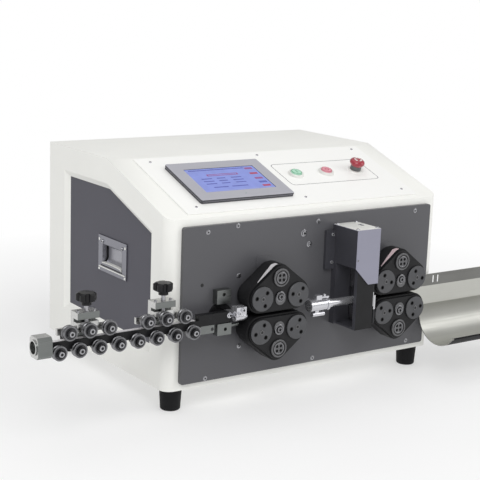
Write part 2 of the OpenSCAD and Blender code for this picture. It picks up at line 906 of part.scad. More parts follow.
module cheeks() {
    difference() {
        union() {
            plate_y(cheek_y0, belt_y0 - free) unit_outline(belt_t - cheek_in);
            plate_y(belt_y1 + free, back_y1) unit_outline(belt_t - cheek_in);
            box([-core_x, core_x], [cheek_y0, back_y1], [core_z0, core_z1]);
            translate([0, 0, end_up - 4]) rod_y(boss_r, cheek_y0 - boss_t, cheek_y0 + 1);
        }
        for (s = [-1, 1]) translate([s * belt_pitch / 2, 0, end_up])
            rod_y(journal_r + run, cheek_y0 - 1, back_y1 + 1);
        translate([0, 0, drive_up]) rod_y(journal_r + run, cheek_y0 - 1, back_y1 + 1);
    }
}

module feed_motor(y0) {
    difference() {
        box([-motor_s / 2, motor_s / 2], [y0, y0 + motor_len],
            [drive_up - motor_s / 2, drive_up + motor_s / 2]);
        translate([0, 0, drive_up]) rod_y(shaft_r + run, y0 - 1, y0 + 22);
    }
}

module upper_carriage() {
    slide_y1 = slide_gap + slide_t;
    cheeks();
    box([-core_x, core_x], [back_y1 - 1, slide_gap + 1], [core_z0, core_z1]);
    difference() {
        box([-slide_x, slide_x], [slide_gap, slide_y1], [slide_z0, slide_z1]);
        for (s = [-1, 1]) translate([s * rod_x0, slide_gap + slide_t / 2, slide_z0 - 1])
            cylinder(r = rod_r + run, h = slide_z1 - slide_z0 + 2);
        translate([0, 0, drive_up]) rod_y(shaft_r + 1, slide_gap - 1, slide_y1 + 1);
    }
    feed_motor(slide_y1);
}

module left_upper_carriage() {
    color("Black") unit_at(-left_feed, true) upper_carriage();
}

module right_upper_carriage() {
    color("Black") unit_at(right_feed, true) upper_carriage();
}

module lower_carriages() {
    color("Black") for (x = [-left_feed, right_feed]) unit_at(x, false) {
        cheeks();
        box([-core_x, core_x], [back_y1 - 1, -plate_t], [core_z0, core_z1]);
    }
}

module left_upper_belt() {
    color("Black") unit_at(-left_feed, true) belt();
}

module right_upper_belt() {
    color("Black") unit_at(right_feed, true) belt();
}

module lower_belts() {
    color("Black") for (x = [-left_feed, right_feed]) unit_at(x, false) belt();
}

// side is -1 for the end where the wire comes in
module end_pulley(x, up, side) {
    color("Gray") unit_at(x, up) translate([side * belt_pitch / 2, 0, end_up]) difference() {
        union() {
            rod_y(end_r - slip, belt_y0, belt_y1);
            rod_y(journal_r, disc_y0 + 1, back_y1);
            translate([0, disc_y0, 0]) rotate([-90, 0, 0]) rotate_extrude()
                polygon([[0, disc_in], [disc_hub, disc_in],
                [disc_hub, 0], [disc_r - disc_cut, 0], [disc_r, disc_cut], [disc_r, disc_t], [0, disc_t]]);
        }
        for (a = [0 : 120 : 240]) rotate([0, a + 20 * x, 0]) translate([hole_at, 0, 0])
            rod_y(disc_hole_r, disc_y0 - 1, disc_y0 + disc_t + free - 0.1);
    }
}

module drive_pulley(x, up) {
    y1 = up ? slide_gap + slide_t + 20 : 20;
    color("Gray") unit_at(x, up) translate([0, 0, drive_up]) difference() {
        union() {
            rod_y(drive_r - slip, belt_y0, belt_y1);
            rod_y(journal_r, disc_y0 + 1, back_y1);
            rod_y(shaft_r, back_y1 - 1, y1);
            translate([0, disc_y0, 0]) rotate([-90, 0, 0]) rotate_extrude() polygon([[0, disc_in],
                [cap_r - cap_rim, disc_in], [cap_r - cap_rim, 0], [cap_r - disc_cut, 0], [cap_r, disc_cut],
                [cap_r, disc_t], [0, disc_t]]);
        }
        for (a = [45 : 90 : 315]) rotate([0, a, 0]) translate([petal_at, 0, 0])
            rod_y(petal_r, disc_y0 - 1, disc_y0 + disc_t);
    }
}

module left_upper_drive() {
    drive_pulley(-left_feed, true);
}

module left_upper_inlet_pulley() {
    end_pulley(-left_feed, true, -1);
}

module left_upper_outlet_pulley() {
    end_pulley(-left_feed, true, 1);
}

module left_lower_drive() {
    drive_pulley(-left_feed, false);
}

module left_lower_inlet_pulley() {
    end_pulley(-left_feed, false, -1);
}

module left_lower_outlet_pulley() {
    end_pulley(-left_feed, false, 1);
}

module right_upper_drive() {
    drive_pulley(right_feed, true);
}

module right_upper_inlet_pulley() {
    end_pulley(right_feed, true, -1);
}

module right_upper_outlet_pulley() {
    end_pulley(right_feed, true, 1);
}

module right_lower_drive() {
    drive_pulley(right_feed, false);
}

module right_lower_inlet_pulley() {
    end_pulley(right_feed, false, -1);
}

module right_lower_outlet_pulley() {
    end_pulley(right_feed, false, 1);
}

// blade head, drawn from its slides' middle on the wire
module head_at() {
    translate([head_x, 0, wire_z]) children();
}

module cutter_frame() {
    color("Black") head_at() difference() {
        union() {
            box([cover_x0, rail_x1], [win_y1, -plate_t], [-head_low, head_up]);
            box([rail_x0, rail_x1], [head_y0, win_y0], [-head_low, head_up]);
            box([rail_x0, rail_x1], [head_y0, -plate_t], [-head_low, -head_low + low_t]);
            box([cover_x0, rail_x1], [head_y0, -plate_t], [head_up - low_t, head_up]);
            box([cover_x0, rail_x0 + 0.5], [head_y0, -plate_t], [chamfer_z, head_up]);
            box([cover_x0 - flange_x, cover_x0 + 1], [-plate_t - flange_t, -plate_t],
                [chamfer_z - 12, head_up - 9]);
        }
        box([groove_x0, groove_x1], [win_y0 - groove_d, win_y1 + groove_d],
            [-head_low + low_t, head_up - low_t]);
        for (s = [-1, 1]) box([-arm_x - 1, arm_x + 1], [win_y1 - 1, 0], s > 0
            ? [arm_z0 - blade_travel - 1, arm_z1 + 1] : [-arm_z1 - 1, blade_travel + 1 - arm_z0]);
    }
}

module cutter_cover() {
    x1 = cover_x0 + cover_w;
    top = head_up + cover_t;
    color("LightGray") head_at() {
        plate_y(head_y0 - free - cover_t, head_y0 - free) polygon([[cover_x0, chamfer_z],
            [cover_x0 + chamfer_x, cover_low], [x1, cover_low], [x1, top], [cover_x0, top]]);
        difference() {
            box([cover_x0, x1], [head_y0 - free - cover_t, -plate_t - free], [head_up, top]);
            box([-slot_w / 2, slot_w / 2], [wire_y + slot_y, wire_y + slot_y + slot_len],
                [head_up - 1, top + 1]);
        }
        box([x1 - cover_t, x1], [head_y0 - free - cover_t, -plate_t - free], [cover_low + 8, top]);
    }
}

// one holder with its arm and nut, drawn as the upper one
module holder(z1, up) {
    difference() {
        union() {
            box([hold_x0 + 5, up ? hold_x1 : hold_x1 - slip], [win_y0 + free, win_y1 - free], [hold_z0, z1]);
            box([hold_x0, groove_x1 - free], [win_y0 - groove_d + free, win_y1 + groove_d - free],
                [hold_z0, z1]);
            box([-arm_x, arm_x], [win_y1 - free - 1, screw_y], [arm_z0, arm_z1]);
            box([-nut_s, nut_s], [screw_y - nut_s, screw_y + nut_s], [nut_z0, nut_z1]);
            if (!up) box([hold_x1 - 1, hold_x1 + blade_t + slip], [wire_y - seat_y, wire_y + seat_y],
                [seat_z0, z1]);
        }
        translate([0, screw_y, nut_z0 - 1]) cylinder(r = screw_r + slip, h = nut_z1 - nut_z0 + 2);
    }
}

module upper_blade_holder() {
    color("DimGray") head_at() holder(hold_top, true);
}

module lower_blade_holder() {
    color("DimGray") head_at() mirror([0, 0, 1]) holder(hold_low, false);
}

// all that lies under one ground flank of the notch, which meets the cutting edge at the land
module under_flank(s) {
    run_y = s > 0 ? blade_y1 - prong - wire_y : wire_y - blade_y0 - prong;
    lean = atan((notch + prong_tip) / run_y);
    reach = 3 * (notch + prong_tip);
    translate([blade_t - land, wire_y, notch]) mirror([0, s > 0 ? 0 : 1, 0])
        rotate([-lean, 0, 0]) rotate([0, grind_a, 0])
            translate([-reach, -reach, -reach]) cube([2 * reach, 2 * reach, reach]);
}

// wedge that grinds both flanks of the notch, from the blade's outer face to its cutting edge
module grind() {
    intersection() {
        under_flank(1);
        under_flank(-1);
    }
}

// a blade with a notch that opens towards the wire
module blade_outline() {
    polygon([[blade_y0, blade_top], [blade_y0, -prong_tip], [blade_y0 + prong, -prong_tip],
        [wire_y, notch], [blade_y1 - prong, -prong_tip], [blade_y1, -prong_tip], [blade_y1, blade_top]]);
}

// the flat face lies towards the other blade: at the far side, or near with flip
module blade(flip) {
    difference() {
        prism_x(0, blade_t) blade_outline();
        translate([flip ? blade_t : 0, 0, 0]) mirror([flip ? 1 : 0, 0, 0]) grind();
    }
}

module upper_blade() {
    color("LightGray") head_at() translate([hold_x1, 0, 0]) blade(false);
}

module lower_blade() {
    color("LightGray") head_at() mirror([0, 0, 1]) translate([hold_x1 + blade_t + slip, 0, 0]) blade(true);
}

module cutter_screw() {
    color("Silver") head_at() translate([0, screw_y, -screw_end - shaft_in + 4])
        cylinder(r = screw_r, h = 2 * screw_end + shaft_in + rail_end - 6);
}

module tray_outline() {
    far = 4 * tray_r;
    translate([tray_cy, tray_cz]) difference() {
        circle(r = tray_r + tray_t);
        circle(r = tray_r);
        polygon([[0, 0], [far * cos(crease_a), far * sin(crease_a)], [far, far], [-far, far],
            [far * cos(lip_a), far * sin(lip_a)]]);
    }
    translate([tray_cy + (tray_r + tray_t / 2) * cos(lip_a), tray_cz + (tray_r + tray_t / 2) * sin(lip_a)])
        circle(r = hem_r);
    band_outline();
}

module band_outline() {
    polygon([[crease_y, crease_z - 1], [crease_y + tray_t + 0.4, crease_z - 1], [tray_wall_y, bend_z],
        [tray_wall_y, wall_z], [tray_wall_y - tray_t, wall_z], [tray_wall_y - tray_t, bend_z]]);
}

module wire_tray() {
    color("Silver") difference() {
        union() {
            prism_x(tray_x0, tray_x1) tray_outline();
            prism_x(tab_x0, tray_x0 + 1) band_outline();
        }
        for (i = [0, 1]) translate([half_w - hook_in + i * hook_pitch, tray_wall_y, wall_z - hook_drop])
            box([-hook_w / 2, hook_w / 2], [-tray_t - 1, 1], [-hook_len, 0]);
    }
}

module drive_units() {
    color("DarkSlateGray") {
        for (x = [-left_feed, right_feed]) {
            unit_at(x, false) feed_motor(0);
            unit_at(x, true) for (s = [-1, 1]) translate([s * rod_x0, slide_gap + slide_t / 2, -rail_end / 2])
                cylinder(r = rod_r, h = slide_z1 + lift + rail_end + 8);
            unit_at(x, true) {
                box([-slide_x, slide_x], [0, slide_gap + slide_t],
                    [slide_z0 - rail_end, slide_z0 - stop_gap]);
                box([-slide_x, slide_x], [0, slide_gap + slide_t],
                    [slide_z1 + lift + 2, slide_z1 + lift + 2 + rail_end]);
            }
        }
        translate([head_x, 0, wire_z]) {
            difference() {
                union() {
                    box([-nut_s, nut_s], [0, screw_y + nut_s], [screw_end, screw_end + rail_end]);
                    box([-motor_s / 2, motor_s / 2], [sheet_t + free, screw_y + motor_s / 2],
                        [-wire_h + sheet_t, -screw_end]);
                }
                translate([0, screw_y, -screw_end - shaft_in]) cylinder(r = screw_r + run, h = 3 * screw_end);
            }
        }
        translate([-pivot_x, 0, wire_z]) difference() {
            box([-swing_s / 2, swing_s / 2], [0, swing_len], [-swing_s / 2, swing_s / 2]);
            rod_y(pivot_r + run, -1, pivot_y1 + 2);
        }
    }
}

module electronics() {
    color("SlateGray") translate([0, 0, foot_h + sheet_t]) {
        box([supply_x, supply_x + supply_w], [inner_y - supply_d, inner_y], [0, supply_h]);
        box([base_x, base_x + base_w], [inner_y - base_d, inner_y], [0, base_t]);
        for (i = [0 : drivers - 1])
            translate([base_x + driver_edge + i * driver_pitch, inner_y - driver_edge, base_t])
            box([0, driver_w], [-driver_d, 0], [0, driver_h]);
    }
}

placed() {
    housing_shell();
    front_plate();
    access_panels();
    feet();
    handles();
    control_plate();
    touch_panel();
    start_button();
    stop_button();
    emergency_stop();
    straightener_bar();
    straightener_blocks();
    left_roller_carrier();
    right_roller_carrier();
    left_knob();
    right_knob();
    lower_roller_1();
    lower_roller_2();
    lower_roller_3();
    lower_roller_4();
    lower_roller_5();
    lower_roller_6();
    lower_roller_7();
    lower_roller_8();
    left_roller_1();
    left_roller_2();
    left_roller_3();
    right_roller_1();
    right_roller_2();
    right_roller_3();
    inlet_guide();
    guide_tube();
    left_upper_carriage();
    right_upper_carriage();
    lower_carriages();
    left_upper_belt();
    right_upper_belt();
    lower_belts();
    left_upper_drive();
    left_upper_inlet_pulley();
    left_upper_outlet_pulley();
    left_lower_drive();
    left_lower_inlet_pulley();
    left_lower_outlet_pulley();
    right_upper_drive();
    right_upper_inlet_pulley();
    right_upper_outlet_pulley();
    right_lower_drive();
    right_lower_inlet_pulley();
    right_lower_outlet_pulley();
    cutter_frame();
    cutter_cover();
    upper_blade_holder();
    lower_blade_holder();
    upper_blade();
    lower_blade();
    cutter_screw();
    wire_tray();
    drive_units();
    electronics();
}

module lower_roller_1() {
    color("Silver") roller(lower_x(0), lower_z);
}

module lower_roller_2() {
    color("Silver") roller(lower_x(1), lower_z);
}

module lower_roller_3() {
    color("Silver") roller(lower_x(2), lower_z);
}

module lower_roller_4() {
    color("Silver") roller(lower_x(3), lower_z);
}

module lower_roller_5() {
    color("Silver") roller(lower_x(4), lower_z);
}

module lower_roller_6() {
    color("Silver") roller(lower_x(5), lower_z);
}

module lower_roller_7() {
    color("Silver") roller(lower_x(6), lower_z);
}

module lower_roller_8() {
    color("Silver") roller(lower_x(7), lower_z);
}

module left_roller_1() {
    color("Silver") roller(left_knob_x - roller_pitch, upper_z);
}

module left_roller_2() {
    color("Silver") roller(left_knob_x, upper_z);
}

module left_roller_3() {
    color("Silver") roller(left_knob_x + roller_pitch, upper_z);
}

module right_roller_1() {
    color("Silver") roller(right_knob_x - roller_pitch, upper_z);
}

module right_roller_2() {
    color("Silver") roller(right_knob_x, upper_z);
}

module right_roller_3() {
    color("Silver") roller(right_knob_x + roller_pitch, upper_z);
}
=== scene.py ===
"""Looks of the bench wire cutting and stripping machine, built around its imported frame.

Places are metres and the sizes of small pieces millimetres. Points on the front are (x, z) from the cabinet's
middle and bottom, points on the sloped face (x, v) from the middle and the slope's lower edge.
"""
import json
import math

import bmesh
import bpy
from mathutils import Matrix, Vector


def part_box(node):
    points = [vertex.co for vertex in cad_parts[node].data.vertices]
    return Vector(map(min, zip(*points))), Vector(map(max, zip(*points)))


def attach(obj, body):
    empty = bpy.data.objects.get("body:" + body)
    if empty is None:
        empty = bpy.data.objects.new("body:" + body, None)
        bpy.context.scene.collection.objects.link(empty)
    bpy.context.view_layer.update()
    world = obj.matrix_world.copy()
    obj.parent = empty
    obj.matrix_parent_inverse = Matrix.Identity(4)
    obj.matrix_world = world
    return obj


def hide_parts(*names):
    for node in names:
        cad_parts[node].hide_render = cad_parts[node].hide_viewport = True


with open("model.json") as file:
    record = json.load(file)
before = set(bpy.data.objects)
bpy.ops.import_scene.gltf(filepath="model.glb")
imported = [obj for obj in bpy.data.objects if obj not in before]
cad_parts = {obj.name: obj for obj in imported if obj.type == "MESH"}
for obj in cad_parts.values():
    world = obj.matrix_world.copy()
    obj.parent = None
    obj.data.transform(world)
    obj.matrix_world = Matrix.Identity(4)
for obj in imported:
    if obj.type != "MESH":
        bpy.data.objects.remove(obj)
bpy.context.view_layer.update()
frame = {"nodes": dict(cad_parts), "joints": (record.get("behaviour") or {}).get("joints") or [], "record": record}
nodes = frame["nodes"]
joints = {j["name"]: j for j in frame["joints"]}
body_of = {n: body for body, members in frame["record"]["behaviour"]["bodies"].items() for n in members}
slot_of = {s["node"]: s["material_slot"] for s in frame["record"]["subparts"]}

MM = 0.001
MAIN = "machine"

# Frame of the cabinet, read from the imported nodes
shell_lo, shell_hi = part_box("housing_shell")
MID_X = (shell_lo.x + shell_hi.x) / 2
FRONT_Y = shell_lo.y
BASE_Z = shell_lo.z
PLATE_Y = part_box("front_plate")[0].y

# Frame of the sloped face, from the buttons' travel and the control plate
PANEL_EDGE = 13 * MM
PANEL_T = 2 * MM
SLOPE_N = -Vector(joints["start_button_press"]["axis"])
SLOPE_V = Vector((0, SLOPE_N.z, -SLOPE_N.y))
panel_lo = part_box("control_plate")[0]
slope_foot = Vector((MID_X, panel_lo.y - SLOPE_N.y * PANEL_T, panel_lo.z)) - PANEL_EDGE * SLOPE_V
SLOPE = Matrix.Translation(slope_foot) @ Matrix(
    ((1, SLOPE_V.x, SLOPE_N.x, 0), (0, SLOPE_V.y, SLOPE_N.y, 0), (0, SLOPE_V.z, SLOPE_N.z, 0), (0, 0, 0, 1))
)


def joint_at(name):
    return Vector(joints[name]["pos_m"])


def facing(point, normal, up=(0, 0, 1)):
    """Matrix at a point whose local Z is the normal and whose local Y is near up."""
    z = Vector(normal).normalized()
    y = Vector(up)
    y = (y - y.dot(z) * z).normalized()
    x = y.cross(z)
    m = Matrix((x, y, z)).transposed().to_4x4()
    m.translation = Vector(point)
    return m


def front_face(x, y, z):
    """Matrix at a point of a front, local Z out of it."""
    return facing((x, y, z), (0, -1, 0))


def top_face(x, y, z):
    """Matrix at a point of a top, local Z up."""
    return facing((x, y, z), (0, 0, 1), (0, 1, 0))


def front_at(x, z, out=0.0):
    """Matrix on the front plate, local Z out of it."""
    return front_face(MID_X + x * MM, PLATE_Y - out * MM, BASE_Z + z * MM)


def slope_at(x, v, n):
    """Matrix on the sloped face, local Z out of it and n millimetres above the cabinet's sheet."""
    return SLOPE @ Matrix.Translation((x * MM, v * MM, n * MM))


def moved(at, x, y):
    """A matrix moved across its own face, in millimetres."""
    return at @ Matrix.Translation((x * MM, y * MM, 0))


def spot(at, x, y, z):
    """A point on a matrix's own axes, in millimetres."""
    return at @ Vector((x * MM, y * MM, z * MM))


def polar(r, angle):
    return r * math.cos(angle), r * math.sin(angle)


def slope_height(point):
    """Height of a point above the sloped sheet, in millimetres."""
    return (point - slope_foot).dot(SLOPE_N) / MM


def slope_top(node):
    """Height of a node above the sloped sheet, in millimetres."""
    return max(slope_height(v.co) for v in nodes[node].data.vertices)


def slope_span(node):
    """Smallest and largest x and v of a node on the sloped face, in millimetres."""
    local = [SLOPE.inverted() @ v.co for v in nodes[node].data.vertices]
    return [(min(c[i] for c in local) / MM, max(c[i] for c in local) / MM) for i in (0, 1)]


def slope_place(node):
    """(x, v) of a node's middle on the sloped face."""
    return tuple((low + high) / 2 for low, high in slope_span(node))


def slope_size(node):
    """Width and height of a node along the sloped face."""
    return tuple(high - low for low, high in slope_span(node))


# Materials

COAT_ROUGH = 0.12
BUMP_DEPTH = 0.0004
RUBBED = (0.2, 0.2, 0.21)
RIPPLE = 0.06
UNLIT = (0.02, 0.02, 0.03, 1)
GLASS_ROUGH = 0.25
BRUSH_X = (0.02, 1, 1)
BRUSH_Z = (1, 1, 0.02)
LOOK = {}


class Graph:
    """Small helper that wires one material's nodes."""

    def __init__(self, name):
        self.mat = bpy.data.materials.new(name)
        self.mat.use_nodes = True
        self.tree = self.mat.node_tree
        self.tree.nodes.clear()
        self.out = self.add("ShaderNodeOutputMaterial")
        self.bsdf = self.add("ShaderNodeBsdfPrincipled")
        self.link(self.bsdf.outputs["BSDF"], self.out.inputs["Surface"])
        self.coord = self.add("ShaderNodeTexCoord").outputs["Object"]

    def add(self, kind, **values):
        made = self.tree.nodes.new(kind)
        for key, value in values.items():
            if hasattr(made, key):
                setattr(made, key, value)
            else:
                made.inputs[key].default_value = value
        return made

    def link(self, a, b):
        self.tree.links.new(a, b)

    def noise(self, scale, detail, stretch=None, rough=0.55):
        coord = self.coord
        if stretch:
            mapping = self.add("ShaderNodeMapping")
            mapping.inputs["Scale"].default_value = stretch
            self.link(coord, mapping.inputs["Vector"])
            coord = mapping.outputs["Vector"]
        tex = self.add("ShaderNodeTexNoise", Scale=scale, Detail=detail, Roughness=rough)
        self.link(coord, tex.inputs["Vector"])
        return tex.outputs["Fac"]

    def remap(self, value, low, high, at_low=0.3, at_high=0.7):
        node = self.add("ShaderNodeMapRange")
        for key, number in (("From Min", at_low), ("From Max", at_high), ("To Min", low), ("To Max", high)):
            node.inputs[key].default_value = number
        self.link(value, node.inputs["Value"])
        return node.outputs["Result"]

    def blend(self, fac, a, b):
        mix = self.add("ShaderNodeMix", data_type="RGBA")
        for key, colour in (("A", a), ("B", b)):
            socket = [s for s in mix.inputs if s.name == key and s.type == "RGBA"][0]
            if isinstance(colour, bpy.types.NodeSocket):
                self.link(colour, socket)
            else:
                socket.default_value = (*colour, 1)
        self.link(fac, mix.inputs["Factor"])
        return [s for s in mix.outputs if s.type == "RGBA"][0]

    def clouds(self, scale, detail, colour, vary):
        """A colour that drifts a little lighter and darker."""
        tone = self.remap(self.noise(scale, detail), 0, 1)
        return self.blend(tone, tint(colour, 1 - vary), tint(colour, 1 + vary))

    def bump(self, height, strength, distance):
        node = self.add("ShaderNodeBump", Strength=strength, Distance=distance)
        self.link(height, node.inputs["Height"])
        self.link(node.outputs["Normal"], self.bsdf.inputs["Normal"])

    def settle(self, **values):
        """Fixed values of the surface, with _ for a space in their names."""
        for key, value in values.items():
            self.bsdf.inputs[key.replace("_", " ")].default_value = value


def tint(colour, factor):
    return tuple(min(1.0, c * factor) for c in colour)


def surface(name, colour, rough, metal=0.0, vary=0.05, cloud=14.0, grain=1400.0, bump=0.06, spread=0.06,
            stretch=None, coat=0.0, specular=0.5, scuff=0.0):
    """Adds a look with soft cloudy tone, grained roughness and a fine bump.

    cloud and grain are patterns per metre, stretch pulls the grain into brushing lines, scuff adds pale
    rubbed spots.
    """
    g = Graph(name)
    base = g.clouds(cloud, 4, colour, vary)
    grain_fac = g.noise(grain, 2, stretch)
    if scuff:
        spots = g.remap(g.noise(cloud * 6, 6, rough=0.7), 0, scuff, 0.56, 0.8)
        base = g.blend(spots, base, RUBBED)
    g.link(base, g.bsdf.inputs["Base Color"])
    g.link(g.remap(grain_fac, max(0.02, rough - spread), min(1, rough + spread)), g.bsdf.inputs["Roughness"])
    g.settle(Metallic=metal, Specular_IOR_Level=specular, Coat_Weight=coat, Coat_Roughness=COAT_ROUGH)
    g.bump(grain_fac, bump, BUMP_DEPTH)
    LOOK[name] = g.mat


def lit(name, colour, strength):
    """Adds a lit screen colour with a faint even ripple."""
    g = Graph(name)
    g.link(g.clouds(60, 2, colour, RIPPLE), g.bsdf.inputs["Emission Color"])
    g.settle(Emission_Strength=strength, Base_Color=UNLIT, Roughness=GLASS_ROUGH)
    LOOK[name] = g.mat


# Each look's name, colour, roughness and share of metal, then what sets it apart

surface("cabinet_paint", (0.86, 0.86, 0.825), 0.42, vary=0.02, cloud=5, grain=1800, bump=0.10)
surface("face_paint", (0.875, 0.875, 0.855), 0.40, vary=0.012, cloud=6, grain=1500, bump=0.05)
surface("plate_paint", (0.086, 0.086, 0.094), 0.40, vary=0.05, cloud=5, grain=1600, bump=0.12)
surface("panel_paint", (0.068, 0.067, 0.086), 0.55, vary=0.05, cloud=6, grain=1500, bump=0.14)
surface("foot_rubber", (0.005, 0.005, 0.006), 0.62, vary=0.2, grain=900, bump=0.25, specular=0.22)
surface("handle_chrome", (0.23, 0.23, 0.26), 0.24, 1.0, vary=0.04, cloud=40, grain=700, bump=0.03)
surface("bezel_plastic", (0.38, 0.38, 0.42), 0.42, vary=0.03, cloud=20, grain=2200, bump=0.10)
# A shaded copy of the bezel's plastic: painted shade on the bezel's sides
surface("bezel_side", (0.05, 0.05, 0.06), 0.45, vary=0.08, cloud=20, grain=2200, bump=0.10)
surface("green_plastic", (0.40, 0.70, 0.53), 0.28, vary=0.05, cloud=60, grain=900, bump=0.03, coat=0.3)
surface("red_plastic", (0.70, 0.30, 0.36), 0.28, vary=0.06, cloud=60, grain=900, bump=0.03, coat=0.3)
surface("emergency_red", (0.33, 0.022, 0.04), 0.26, vary=0.08, cloud=60, grain=900, bump=0.03, coat=0.4)
surface("mark_green", (0.03, 0.25, 0.11), 0.4, vary=0.05, cloud=80, grain=900, bump=0.02)
surface("mark_red", (0.42, 0.04, 0.07), 0.4, vary=0.05, cloud=80, grain=900, bump=0.02)
surface("mark_white", (0.80, 0.80, 0.78), 0.5, vary=0.03, cloud=80, grain=900, bump=0.02)
surface("mark_dark", (0.07, 0.07, 0.085), 0.5, vary=0.06, cloud=80, grain=900, bump=0.02)
surface("black_metal", (0.006, 0.006, 0.007), 0.40, vary=0.15, cloud=30, grain=1300, bump=0.10, scuff=0.08,
        specular=0.28)
surface("bright_aluminium", (0.58, 0.58, 0.57), 0.27, 1.0, vary=0.05, cloud=30, grain=500, bump=0.05,
        stretch=BRUSH_X, spread=0.10)
surface("frame_paint", (0.046, 0.046, 0.055), 0.46, vary=0.10, cloud=20, grain=1400, bump=0.10,
        specular=0.35)
surface("knob_plastic", (0.007, 0.007, 0.008), 0.36, vary=0.15, cloud=60, grain=1500, bump=0.12,
        specular=0.3)
# A darker copy of the bright aluminium, for the inlet guide's parts off the wire and for painted shade on the
# straightener blocks' front faces
surface("block_face", (0.20, 0.21, 0.205), 0.36, 1.0, vary=0.05, cloud=30, grain=500, bump=0.05,
        stretch=BRUSH_X, spread=0.10)
surface("roller_steel", (0.21, 0.21, 0.22), 0.28, 1.0, vary=0.07, cloud=90, grain=1200, bump=0.03)
surface("shield_dark", (0.020, 0.020, 0.023), 0.42, vary=0.15, cloud=90, grain=1200, bump=0.05)
surface("bolt_steel", (0.40, 0.40, 0.42), 0.27, 1.0, vary=0.08, cloud=120, grain=1500, bump=0.04)
# Near black: painted shade in screw sockets, holes, grooves and gaps
surface("socket_dark", (0.010, 0.010, 0.011), 0.6, vary=0.2, cloud=120, grain=1500, bump=0.04)
surface("tube_chrome", (0.60, 0.60, 0.63), 0.18, 0.75, vary=0.04, cloud=60, grain=600, bump=0.02)
surface("belt_rubber", (0.008, 0.008, 0.009), 0.52, vary=0.18, cloud=40, grain=900, bump=0.18,
        specular=0.28)
surface("pulley_aluminium", (0.074, 0.075, 0.080), 0.42, 0.35, vary=0.07, cloud=60, grain=900, bump=0.06)
surface("cap_metal", (0.14, 0.14, 0.145), 0.36, 0.8, vary=0.06, cloud=80, grain=900, bump=0.05)
surface("cover_paint", (0.25, 0.25, 0.315), 0.36, vary=0.03, cloud=14, grain=1800, bump=0.06)
# Pale brushed metal of the cutter cover's top plate and the button rings; on the handles it paints highlights
surface("cover_top", (0.80, 0.80, 0.77), 0.42, 0.35, vary=0.05, cloud=30, grain=500, bump=0.05,
        stretch=BRUSH_X, spread=0.10)
surface("tool_steel", (0.55, 0.55, 0.57), 0.24, 1.0, vary=0.06, cloud=60, grain=500, bump=0.06,
        stretch=BRUSH_Z, spread=0.10)
surface("tray_steel", (0.46, 0.46, 0.43), 0.42, 0.9, vary=0.04, cloud=9, grain=420, bump=0.08,
        stretch=BRUSH_X, spread=0.09)
# Lit and shaded copies of the tray's steel: painted light on the wall's lower part, painted shade on its upper
# band and on the outer side below the front lip
surface("tray_light", (0.58, 0.58, 0.54), 0.40, 0.9, vary=0.06, cloud=7, grain=420, bump=0.08,
        stretch=BRUSH_X, spread=0.09)
surface("tray_band", (0.21, 0.21, 0.20), 0.42, 0.9, vary=0.05, cloud=9, grain=420, bump=0.08,
        stretch=BRUSH_X, spread=0.09)
surface("tray_dark", (0.008, 0.008, 0.009), 0.50, vary=0.05, cloud=9, grain=420, bump=0.08, stretch=BRUSH_X,
        specular=0.12)
surface("pocket_steel", (0.34, 0.34, 0.37), 0.30, 0.9, vary=0.04, cloud=40, grain=700, bump=0.03)
surface("blade_shank", (0.03, 0.03, 0.033), 0.42, 0.6, vary=0.1, cloud=60, grain=900, bump=0.05)
surface("drive_paint", (0.03, 0.03, 0.033), 0.5, vary=0.1, cloud=30, grain=1300, bump=0.1)
surface("electronics_case", (0.10, 0.14, 0.12), 0.5, vary=0.1, cloud=30, grain=1300, bump=0.1)
# Pale strips that paint highlights on the upper belts and on the bar
surface("painted_highlight_rose", (0.72, 0.56, 0.58), 0.34, 0.3, vary=0.05, cloud=60, grain=700, bump=0.04)
surface("painted_highlight_steel", (0.74, 0.72, 0.74), 0.34, 0.3, vary=0.05, cloud=60, grain=700, bump=0.04)
lit("screen", (0.28, 0.35, 0.86), 0.74)
lit("screen_bar", (0.46, 0.12, 0.40), 0.55)
lit("screen_red", (0.60, 0.06, 0.16), 0.6)
lit("screen_green", (0.12, 0.42, 0.30), 0.5)
lit("screen_line", (0.62, 0.66, 0.95), 0.6)
lit("screen_mid", (0.12, 0.15, 0.62), 0.6)

# Mesh helpers, sizes in millimetres

SHARP = math.radians(40)
CRISP = math.radians(28)
FLAT = math.radians(0.6)
WELD = 2e-6
# Screw looks: the head, then painted shade in its socket
STEEL_SCREW = ["bolt_steel", "socket_dark"]
CHROME_SCREW = ["tube_chrome", "socket_dark"]


def tidy_shading(bm):
    """Smooth faces, with edges over the sharp angle kept crisp."""
    bmesh.ops.recalc_face_normals(bm, faces=bm.faces)
    for face in bm.faces:
        face.smooth = True
    for edge in bm.edges:
        edge.smooth = len(edge.link_faces) == 2 and edge.calc_face_angle(0) < SHARP


def piece(name, bm, looks, body=MAIN, weighted=False):
    """Makes the object, gives it its materials in order, and lets it ride on a body."""
    tidy_shading(bm)
    mesh = bpy.data.meshes.new(name)
    bm.to_mesh(mesh)
    bm.free()
    made = bpy.data.objects.new(name, mesh)
    bpy.context.scene.collection.objects.link(made)
    for look in looks:
        mesh.materials.append(LOOK[look])
    if weighted:
        made.modifiers.new("even_normals", "WEIGHTED_NORMAL").keep_sharp = True
    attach(made, body)
    return made


def round_loop(bm, radius, height, at, count):
    """Points round local Z; the radius may be a function of the angle."""
    loop = []
    for i in range(count):
        angle = 2 * math.pi * i / count
        r = radius(angle) if callable(radius) else radius
        loop.append(bm.verts.new(spot(at, *polar(r, angle), height)))
    return loop


def flat_loop(bm, outline, height, at):
    return [bm.verts.new(spot(at, x, y, height)) for x, y in outline]


def band(bm, a, b, look=0):
    """Faces between two loops with as many points."""
    for i in range(len(a)):
        j = (i + 1) % len(a)
        bm.faces.new((a[i], a[j], b[j], b[i])).material_index = look


